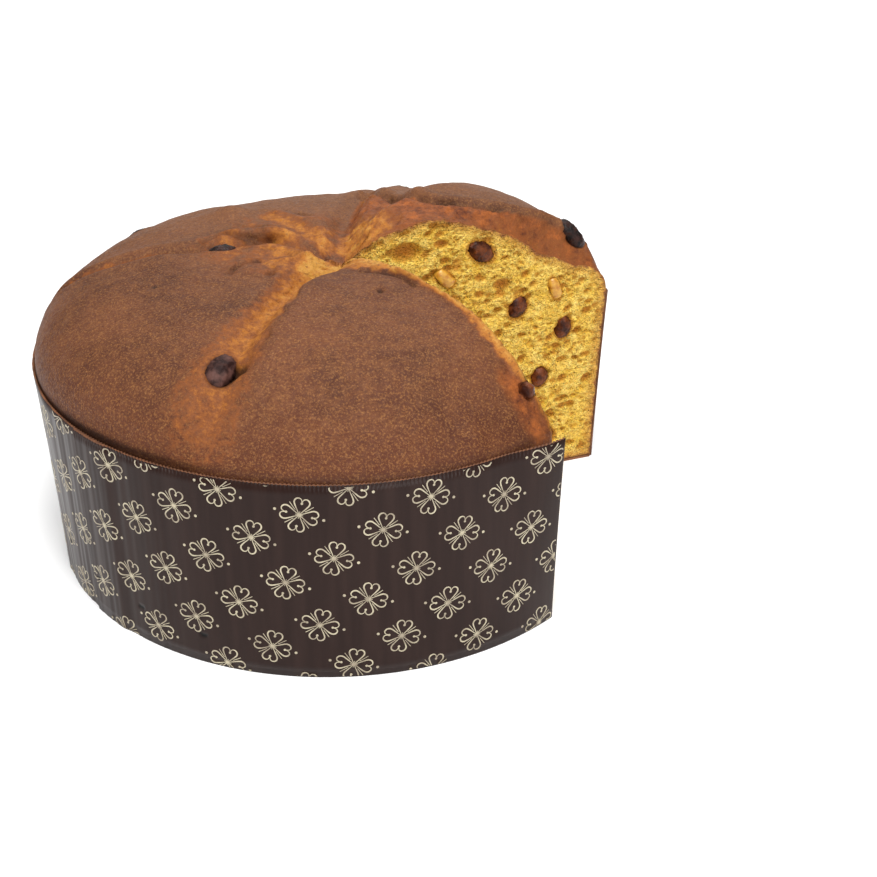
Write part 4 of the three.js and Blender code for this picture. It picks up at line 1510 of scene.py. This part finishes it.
@dataclass
class PaperWall:
    """The wall of the case: coated outside, fluted inside, lapped and glued at the left front."""

    flute_pitch: float = 1.3
    flute_depth: float = 0.3
    samples: int = 3
    rows: int = 14
    inner_rows: int = 5
    overhang: float = 0.6
    top_wave: float = 0.35
    slit_rows: int = 14
    slit_zone: tuple[float, float] = (9.0, 19.0)
    slits: ClassVar[tuple[tuple[float, float], ...]] = (
        (209.0, 17.0), (221.3, 14.5), (233.3, 13.2), (247.3, 11.1), (196.5, 17.2),
    )
    slit_radius: ClassVar[float] = 1.9
    slit_depth: ClassVar[float] = 0.3
    paper: CoatedPaper = CoatedPaper()
    kraft: KraftPaper = KraftPaper()

    @staticmethod
    def crease(deg: np.ndarray, z: np.ndarray) -> np.ndarray:
        """Soft upright creases in the paper, in mm, strongest at the left."""
        shape = np.shape(deg)
        flat = np.column_stack([np.ravel(deg) / 3.1, np.ravel(z) / 70.0, np.zeros(np.size(deg))])
        broad = grain(flat, 1.0, 61, 1).reshape(shape)
        fine = grain(flat * np.array([2.7, 1.0, 1.0]), 1.0, 67, 1).reshape(shape)
        left = azimuth_bump(deg, 205.0, 60.0)
        inward = -0.12 + 0.45 * broad + 0.2 * fine
        return (0.12 + 0.88 * left) * np.minimum(inward, 0.12) * 0.8

    @classmethod
    def slit(cls, deg: np.ndarray, z: np.ndarray) -> np.ndarray:
        """How far inside one of the small torn vents near the foot each place lies, 0 to 1."""
        found = np.zeros(np.shape(deg))
        for at, height in cls.slits:
            across = np.radians(deg - at) * FORM.case.rim_radius / cls.slit_radius
            up = (z - height) / (1.0 + 0.25 * across)
            found = np.maximum(found, 1.0 - smoothstep(np.hypot(across, up), 0.6, 1.0))
        return found

    @classmethod
    def dark_marks(cls, deg: np.ndarray, z: np.ndarray) -> np.ndarray:
        """How dark the paper is, 0 to 1: near black as painted shade inside its vents, and a dark line
        along the edge of its lap.
        """
        off = np.abs(np.radians(deg - FORM.case.lap_start) * FORM.case.rim_radius)
        edge = 0.75 * (1.0 - smoothstep(off, 0.15, 0.8)) * (1.0 - smoothstep(z, 58.0, 66.0))
        return np.maximum(cls.slit(deg, z), edge)

    @classmethod
    def outside(cls, deg: np.ndarray, z: np.ndarray) -> np.ndarray:
        """Outer radius of the wall in mm, with its creases, its lap and its vents."""
        case = FORM.case
        smooth = case.radius(deg, z) + case.lap(deg) + cls.crease(deg, z) - 0.12
        return smooth - cls.slit_depth * cls.slit(deg, z)

    def build(self) -> bpy.types.Object:
        """Makes the wall and dresses it.

        Returns:
            The finished object.
        """
        case = FORM.case
        start, end = Cut.FAR.value, 360.0 + Cut.NEAR.value + self.overhang
        span = math.radians(end - start) * case.rim_radius
        columns = int(span / self.flute_pitch) * self.samples
        deg = np.linspace(start, end, columns + 1)
        seam_at = np.array([case.lap_start, case.lap_start + 0.08, case.lap_start + 0.16])
        deg = np.sort(np.concatenate([deg, seam_at]))
        flutes = 0.5 + 0.5 * np.cos(2.0 * np.pi * np.radians(deg) * case.rim_radius / self.flute_pitch)
        outer = []
        low, high = self.slit_zone
        levels = np.concatenate([
            [0.0, 0.5 * low],
            np.linspace(low, high, self.slit_rows),
            np.linspace(high, case.height, self.rows)[1:],
        ])
        for level in levels:
            z = np.full(len(deg), level)
            outer.append((self.outside(deg, z), z))
        top_drop = self.top_wave * flutes
        outer[-1] = (outer[-1][0], outer[-1][1] - top_drop)
        inner = []
        for level in np.linspace(1.0, 0.0, self.inner_rows + 1):
            z = np.full(len(deg), level * case.height)
            radius = case.radius(deg, z) - case.paper + self.flute_depth * flutes
            inner.append((np.minimum(radius, self.outside(deg, z) - 0.3), z))
        inner[0] = (inner[0][0], inner[0][1] - top_drop)
        ring = outer + inner
        angle = np.radians(deg)
        points = np.stack([
            np.column_stack([radius * np.cos(angle), radius * np.sin(angle), z]) for radius, z in ring
        ], 1)
        count = len(ring)
        number = np.arange(len(deg) * count).reshape(len(deg), count)
        faces, kinds = [], []
        for row in range(count):
            after = (row + 1) % count
            for column in range(len(deg) - 1):
                faces.append([number[column, row], number[column + 1, row],
                              number[column + 1, after], number[column, after]])
                kinds.append(0 if row < len(levels) - 1 else 1)
        faces += [list(number[0]), list(number[-1][::-1])]
        kinds += [1, 1]
        piece = make_piece("case_wall", points.reshape(-1, 3), [[int(i) for i in f] for f in faces])
        slits = np.stack([self.dark_marks(deg, z) * (row < len(levels)) for row, (_, z) in enumerate(ring)], 1)
        set_attribute(piece, "slit", slits.reshape(-1))
        dress(piece, [self.paper.material(), self.kraft.material()], kinds)
        face_outwards(piece)
        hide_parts("case_band")
        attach(piece, BODY)
        return piece


@dataclass(frozen=True)
class CloverMotif:
    """A four-leaved clover of outlined hearts with rays between, drawn flat about the origin.

    Every stroke is a thin closed strip: its top stands proud of the paper and
    its bottom is sunk in it.
    """

    fine: float = 0.21
    broad: float = 0.5
    proud: float = 0.07
    sunk: float = 0.1
    leaf: tuple[tuple[float, float], ...] = (
        (0.1, 0.05), (1.6, 0.95), (3.0, 1.85), (4.35, 2.5), (5.5, 2.2), (6.0, 1.2), (5.5, 0.3), (4.2, 0.0),
    )
    leaf_steps: int = 14
    bulb_radius: float = 0.42
    dot_sides: int = 9
    axis_ray: float = 1.3
    ray_start: float = 2.2
    ray_end: float = 5.5
    side_dot_reach: float = 7.9
    side_dot_radius: float = 0.5

    def leaf_half(self, hand: float) -> tuple[list[tuple[float, float]], list[float]]:
        """Half a heart along +X: out from the middle, round its lobe and in at its notch.

        Args:
            hand: 1 for the upper half, -1 for the lower.

        Returns:
            The line's points and its width at each.
        """
        curve = Route(self.leaf, self.leaf_steps).curve()
        share = np.linspace(0.0, 1.0, len(curve))
        width = self.fine + (self.broad - self.fine) * np.sin(np.pi * np.clip(share, 0.15, 0.85)) ** 2
        return [(x, y * hand) for x, y in curve.tolist()], width.tolist()

    def strokes(self) -> list[tuple[list[tuple[float, float]], list[float]]]:
        """Every line of the motif with its width in mm at each point."""
        found = []
        for turn in range(4):
            quarter = math.radians(90.0 * turn)
            for hand in (1.0, -1.0):
                line, width = self.leaf_half(hand)
                found.append(([self.turned(p, quarter) for p in line], width))
            rays = ((0.0, 0.0, self.axis_ray), (math.radians(45.0), self.ray_start, self.ray_end))
            for angle, start, end in rays:
                ends = [(start, 0.0), ((start + end) / 2.0, 0.0), (end, 0.0)]
                found.append(([self.turned(p, quarter + angle) for p in ends], [self.fine] * 3))
        return found

    def dots(self) -> list[tuple[float, float, float]]:
        """Every dot of the motif: its place and its radius."""
        found = [(0.0, 0.0, self.bulb_radius)]
        for turn in range(4):
            bulb = self.turned(self.leaf[-1], math.radians(90.0 * turn))
            found.append((bulb[0], bulb[1], self.bulb_radius))
        for end in (1.0, -1.0):
            found.append((end * self.side_dot_reach, 0.0, self.side_dot_radius))
        return found

    @staticmethod
    def turned(point: tuple[float, float], angle: float) -> tuple[float, float]:
        """A point turned about the origin."""
        cos, sin = math.cos(angle), math.sin(angle)
        return point[0] * cos - point[1] * sin, point[0] * sin + point[1] * cos

    def mesh(self) -> bpy.types.Object:
        """The motif as a flat mesh in mm, used only as a pattern for instances."""
        verts: list[tuple[float, float, float]] = []
        faces: list[list[int]] = []
        for line, width in self.strokes():
            self.add_strip(verts, faces, np.array(line), width)
        for x, y, radius in self.dots():
            self.add_dot(verts, faces, x, y, radius)
        mesh = bpy.data.meshes.new("clover_pattern")
        mesh.from_pydata(verts, [], faces)
        pattern = bpy.data.objects.new("clover_pattern", mesh)
        bpy.context.scene.collection.objects.link(pattern)
        return pattern

    def add_strip(self, verts: list, faces: list, line: np.ndarray, width: list[float]) -> None:
        """Adds a closed strip along a line.

        Args:
            verts: Vertices so far, added to.
            faces: Faces so far, added to.
            line: The line's points.
            width: The strip's width at each point.
        """
        way = np.gradient(line, axis=0)
        way /= np.linalg.norm(way, axis=1)[:, None]
        across = np.column_stack([-way[:, 1], way[:, 0]]) * np.array(width)[:, None] / 2.0
        first = len(verts)
        for point, side in zip(line, across):
            left, right = point + side, point - side
            verts.append((left[0], left[1], self.proud))
            verts.append((right[0], right[1], self.proud))
            verts.append((right[0], right[1], -self.sunk))
            verts.append((left[0], left[1], -self.sunk))
        for index in range(len(line) - 1):
            here = first + 4 * index
            for edge in range(4):
                after = (edge + 1) % 4
                faces.append([here + edge, here + after, here + 4 + after, here + 4 + edge])
        last = first + 4 * (len(line) - 1)
        faces.append([first + 3, first + 2, first + 1, first])
        faces.append([last, last + 1, last + 2, last + 3])

    def add_dot(self, verts: list, faces: list, x: float, y: float, radius: float) -> None:
        """Adds a closed round dot."""
        sides = self.dot_sides
        first = len(verts)
        for level in (self.proud, -self.sunk):
            for step in range(sides):
                angle = 2.0 * math.pi * step / sides
                verts.append((x + radius * math.cos(angle), y + radius * math.sin(angle), level))
        faces.append([first + step for step in range(sides)])
        faces.append([first + sides + step for step in reversed(range(sides))])
        for step in range(sides):
            after = (step + 1) % sides
            faces.append([first + step, first + sides + step, first + sides + after, first + after])


class NodeTree(NodeMaker):
    """A Geometry Nodes tree with named inputs, run on an empty mesh and kept as a plain one."""

    def __init__(self, name: str) -> None:
        """Starts an empty tree with a geometry input and output."""
        self.tree = bpy.data.node_groups.new(name, "GeometryNodeTree")
        self.values: dict[str, object] = {}
        face = self.tree.interface
        face.new_socket("Geometry", in_out="INPUT", socket_type="NodeSocketGeometry")
        face.new_socket("Geometry", in_out="OUTPUT", socket_type="NodeSocketGeometry")
        self.entry = self.tree.nodes.new("NodeGroupInput")
        self.exit = self.tree.nodes.new("NodeGroupOutput")

    def declare(self, name: str, kind: str, value: object) -> bpy.types.NodeSocket:
        """Adds a named input with its value.

        Args:
            name: The input's name.
            kind: Its socket type.
            value: What it is set to.

        Returns:
            The output of the group's entry that carries it.
        """
        socket = self.tree.interface.new_socket(name, in_out="INPUT", socket_type=kind)
        self.values[socket.identifier] = value
        return self.entry.outputs[name]

    def run(self, geometry_out: bpy.types.NodeSocket) -> bpy.types.Mesh:
        """Ends the tree at a socket and returns what it makes as a plain mesh.

        Args:
            geometry_out: The last geometry, realized and with its material set.

        Returns:
            The mesh.
        """
        self.tree.links.new(geometry_out, self.exit.inputs[0])
        holder = bpy.data.objects.new("holder", bpy.data.meshes.new("holder"))
        bpy.context.scene.collection.objects.link(holder)
        modifier = holder.modifiers.new("nodes", "NODES")
        modifier.node_group = self.tree
        for identifier, value in self.values.items():
            modifier[identifier] = value
        depsgraph = bpy.context.evaluated_depsgraph_get()
        mesh = bpy.data.meshes.new_from_object(holder.evaluated_get(depsgraph))
        holder.modifiers.remove(modifier)
        bpy.data.objects.remove(holder)
        return mesh


@dataclass
class Print:
    """The cream clover print on the case: a slanting lattice of motifs laid on the paper."""

    columns: int = 44
    rows: int = 44
    pitch_a: tuple[float, float] = (10.46, -15.93)
    pitch_b: tuple[float, float] = (15.81, 9.43)
    origin: tuple[float, float] = (4.16, 46.4)
    edge: float = 0.35
    end_shift: float = 0.4
    seam_gap: float = 0.25
    motif: CloverMotif = CloverMotif()
    ink: PrintingInk = PrintingInk()

    @property
    def turn(self) -> float:
        """Turn of each motif: its dots lie towards its neighbour across the lattice."""
        across = np.add(self.pitch_a, self.pitch_b)
        return math.atan2(across[1], across[0])

    def lattice(self, material: bpy.types.Material) -> bpy.types.Mesh:
        """Repeats the motif on the lattice with Geometry Nodes.

        Args:
            material: The ink.

        Returns:
            The flat print in mm, X along the case and Y up it.
        """
        pattern = self.motif.mesh()
        book = NodeTree("clover_lattice")
        motif = book.declare("Motif", "NodeSocketObject", pattern)
        ink = book.declare("Ink", "NodeSocketMaterial", material)
        columns = book.declare("Columns", "NodeSocketInt", self.columns + 1)
        rows = book.declare("Rows", "NodeSocketInt", self.rows + 1)
        pitch_a = book.declare("Pitch A", "NodeSocketVector", (*self.pitch_a, 0.0))
        pitch_b = book.declare("Pitch B", "NodeSocketVector", (*self.pitch_b, 0.0))
        turn = book.declare("Turn", "NodeSocketVector", (0.0, 0.0, self.turn))
        grid = book.add("GeometryNodeMeshGrid", {
            "Size X": float(self.columns), "Size Y": float(self.rows),
            "Vertices X": columns, "Vertices Y": rows})
        place = book.add("GeometryNodeInputPosition").outputs[0]
        parts = book.add("ShaderNodeSeparateXYZ", {0: place}).outputs
        along_a = book.add("ShaderNodeVectorMath", {0: pitch_a, "Scale": parts["X"]}, operation="SCALE")
        along_b = book.add("ShaderNodeVectorMath", {0: pitch_b, "Scale": parts["Y"]}, operation="SCALE")
        both = book.add("ShaderNodeVectorMath", {0: along_a.outputs[0], 1: along_b.outputs[0]})
        placed = book.add("ShaderNodeVectorMath", {0: both.outputs[0], 1: (*self.origin, 0.0)})
        moved = book.add("GeometryNodeSetPosition", {
            "Geometry": grid.outputs["Mesh"], "Position": placed.outputs[0]})
        height = book.declare("Case height", "NodeSocketFloat", FORM.case.height)
        left = book.declare("Left end", "NodeSocketFloat", self.ends()[0])
        right = book.declare("Right end", "NodeSocketFloat", self.ends()[1])
        margin = book.declare("Motif reach", "NodeSocketFloat", self.motif.side_dot_reach + 1.0)
        over = self.beyond(book, parts["Y"], height, margin)
        under = self.beyond(book, self.negative(book, parts["Y"]), 0.0, margin)
        before = self.beyond(book, self.negative(book, parts["X"]), self.negative(book, left), margin)
        after = self.beyond(book, parts["X"], right, margin)
        upright = book.add("FunctionNodeBooleanMath", {0: over, 1: under}, operation="OR")
        sideways = book.add("FunctionNodeBooleanMath", {0: before, 1: after}, operation="OR")
        away = book.add("FunctionNodeBooleanMath", {0: upright.outputs[0], 1: sideways.outputs[0]},
                        operation="OR")
        kept = book.add("GeometryNodeDeleteGeometry", {
            "Geometry": moved.outputs[0], "Selection": away.outputs[0]}, domain="POINT")
        shape = book.add("GeometryNodeObjectInfo", {"Object": motif}).outputs["Geometry"]
        copies = book.add("GeometryNodeInstanceOnPoints", {
            "Points": kept.outputs[0], "Instance": shape, "Rotation": turn})
        real = book.add("GeometryNodeRealizeInstances", {"Geometry": copies.outputs[0]})
        inked = book.add("GeometryNodeSetMaterial", {"Geometry": real.outputs[0], "Material": ink})
        mesh = book.run(inked.outputs[0])
        bpy.data.objects.remove(pattern)
        return mesh

    @staticmethod
    def beyond(book: NodeTree, value: bpy.types.NodeSocket, limit: object,
               margin: bpy.types.NodeSocket) -> bpy.types.NodeSocket:
        """Whether a value lies more than a margin beyond a limit."""
        edge = book.add("ShaderNodeMath", {0: margin, 1: limit}, operation="ADD")
        return book.add("FunctionNodeCompare", {0: value, 1: edge.outputs[0]},
                        data_type="FLOAT", operation="GREATER_THAN").outputs[0]

    @staticmethod
    def negative(book: NodeTree, value: bpy.types.NodeSocket) -> bpy.types.NodeSocket:
        """A number with its sign turned."""
        return book.add("ShaderNodeMath", {0: value, 1: -1.0}, operation="MULTIPLY").outputs[0]

    @property
    def around(self) -> float:
        """Radius in mm at which the flat print is rolled up."""
        return (FORM.case.foot_radius + FORM.case.rim_radius) / 2.0

    def along(self, deg: float) -> float:
        """Place in mm along the flat print of an azimuth, 0 at the front."""
        return math.radians(deg + 90.0) * self.around

    def ends(self) -> tuple[float, float]:
        """Where the paper starts and ends, in mm along the flat print."""
        first, last = self.along(Cut.FAR.value - 360.0), self.along(Cut.NEAR.value)
        return first + self.end_shift, last + self.end_shift

    def build(self) -> bpy.types.Object:
        """Makes the print, trims it at the paper's edges and lays it on the wall.

        Returns:
            The finished object.
        """
        material = self.ink.material()
        mesh = self.lattice(material)
        first, last = self.ends()
        seam = self.along(FORM.case.lap_start - 360.0)
        left = self.trimmed(mesh, first, seam - self.seam_gap)
        right = self.trimmed(mesh, seam + self.seam_gap, last)
        flat = np.vstack([left[0], right[0]])
        faces = left[1] + [[i + len(left[0]) for i in face] for face in right[1]]
        deg = np.degrees(flat[:, 0] / self.around) - 90.0
        z = flat[:, 1]
        radius = PaperWall.outside(deg % 360.0, z) + flat[:, 2]
        angle = np.radians(deg)
        points = np.column_stack([radius * np.cos(angle), radius * np.sin(angle), z])
        piece = make_piece("case_print", points, faces, smooth=False)
        piece.data.materials.append(material)
        bpy.data.meshes.remove(mesh)
        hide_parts("case_band")
        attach(piece, BODY)
        return piece

    def trimmed(self, mesh: bpy.types.Mesh, low: float, high: float) -> tuple[np.ndarray, list]:
        """The part of the flat print between two places along the case, closed where it is cut.

        Args:
            mesh: The flat print.
            low: Where it starts, in mm along the case.
            high: Where it ends.

        Returns:
            The vertices and the faces.
        """
        work = bmesh.new()
        work.from_mesh(mesh)
        top = FORM.case.height - self.edge - 0.5
        planes = (
            ((low, 0.0, 0.0), (-1.0, 0.0, 0.0)),
            ((high, 0.0, 0.0), (1.0, 0.0, 0.0)),
            ((0.0, self.edge, 0.0), (0.0, -1.0, 0.0)),
            ((0.0, top, 0.0), (0.0, 1.0, 0.0)),
        )
        for place, out in planes:
            everything = work.verts[:] + work.edges[:] + work.faces[:]
            bmesh.ops.bisect_plane(work, geom=everything, plane_co=place, plane_no=out, clear_outer=True)
            open_edges = [edge for edge in work.edges if edge.is_boundary]
            bmesh.ops.holes_fill(work, edges=open_edges, sides=0)
        bmesh.ops.triangulate(work, faces=[face for face in work.faces if len(face.verts) > 4])
        work.verts.index_update()
        points = np.array([vert.co for vert in work.verts])
        faces = [[vert.index for vert in face.verts] for face in work.faces]
        work.free()
        return points, faces


@dataclass
class CaseBase:
    """The paper disc under the loaf. Its solid is right, so it only gets its finish."""

    kraft: KraftPaper = KraftPaper()

    def build(self) -> bpy.types.Object:
        """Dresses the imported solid."""
        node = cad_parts["case_base"]
        node.data.materials.clear()
        node.data.materials.append(self.kraft.material())
        return node


@dataclass
class Studio:
    """A white sweep, soft boxes, and a camera at the photograph's place."""

    camera_place: tuple[float, float, float] = (37.0, -526.2, 341.3)
    camera_pitch: float = 59.31
    lens: float = 67.05
    world_light: float = 0.42
    floor_half: float = 6.0
    aim: tuple[float, float, float] = (0.0, 0.0, 0.06)
    floor: StudioFloor = StudioFloor()
    boxes: tuple[tuple[str, tuple[float, float, float], float, float], ...] = (
        ("key", (0.05, -0.4, 1.3), 0.6, 16.0),
        ("fill", (0.5, -1.1, 0.55), 0.7, 7.0),
        ("back", (0.15, 0.95, 1.0), 1.0, 6.0),
        ("left_strip", (-1.1, -0.15, 0.4), 0.3, 2.6),
    )

    def build(self) -> None:
        """Makes the floor, the lights and the camera."""
        self.make_floor()
        for name, place, size, power in self.boxes:
            self.make_light(name, place, size, power)
        world = bpy.data.worlds.new("studio")
        world.use_nodes = True
        background = world.node_tree.nodes["Background"]
        background.inputs["Color"].default_value = (1.0, 1.0, 1.0, 1.0)
        background.inputs["Strength"].default_value = self.world_light
        bpy.context.scene.world = world
        bpy.context.scene.view_settings.view_transform = "Standard"
        self.make_camera()

    def make_floor(self) -> None:
        """A wide flat floor."""
        mesh = bpy.data.meshes.new("floor")
        half = self.floor_half
        corners = [(-half, -half, 0.0), (half, -half, 0.0), (half, half, 0.0), (-half, half, 0.0)]
        mesh.from_pydata(corners, [], [(0, 1, 2, 3)])
        floor = bpy.data.objects.new("floor", mesh)
        bpy.context.scene.collection.objects.link(floor)
        mesh.materials.append(self.floor.material())

    def make_light(self, name: str, place: tuple[float, float, float], size: float, power: float) -> None:
        """A square soft box that faces the cake.

        Args:
            name: The light's name.
            place: Its middle, in metres.
            size: The side of the box, in metres.
            power: Its power in watts.
        """
        light = bpy.data.lights.new(name, "AREA")
        light.size = size
        light.energy = power
        lamp = bpy.data.objects.new(name, light)
        lamp.location = place
        towards = Vector(self.aim) - Vector(place)
        lamp.rotation_euler = towards.to_track_quat("-Z", "Y").to_euler()
        bpy.context.scene.collection.objects.link(lamp)

    def make_camera(self) -> None:
        """The camera, at the place that the photograph was taken from."""
        data = bpy.data.cameras.new("photo_camera")
        data.sensor_width = 36.0
        data.lens = self.lens
        camera = bpy.data.objects.new("photo_camera", data)
        camera.location = to_frame(np.array(self.camera_place)).tolist()
        camera.rotation_euler = (math.radians(self.camera_pitch), 0.0, 0.0)
        bpy.context.scene.collection.objects.link(camera)
        bpy.context.scene.camera = camera


def main() -> None:
    """Builds every piece in order, then the stage, the light and the camera."""
    logging.basicConfig(level=logging.INFO, format="%(message)s")
    LOG.info("shift of the packed part: %.3f mm", SHIFT)
    loaf = Loaf().build()
    LOG.info("loaf: %d faces", len(loaf.data.polygons))
    fruit = Fruit().build()
    LOG.info("fruit: %d pieces", len(fruit))
    wall = PaperWall().build()
    LOG.info("case wall: %d faces", len(wall.data.polygons))
    motifs = Print().build()
    LOG.info("case print: %d faces", len(motifs.data.polygons))
    CaseBase().build()
    LOG.info("case base dressed")
    Studio().build()


if __name__ == "__main__":
    main()
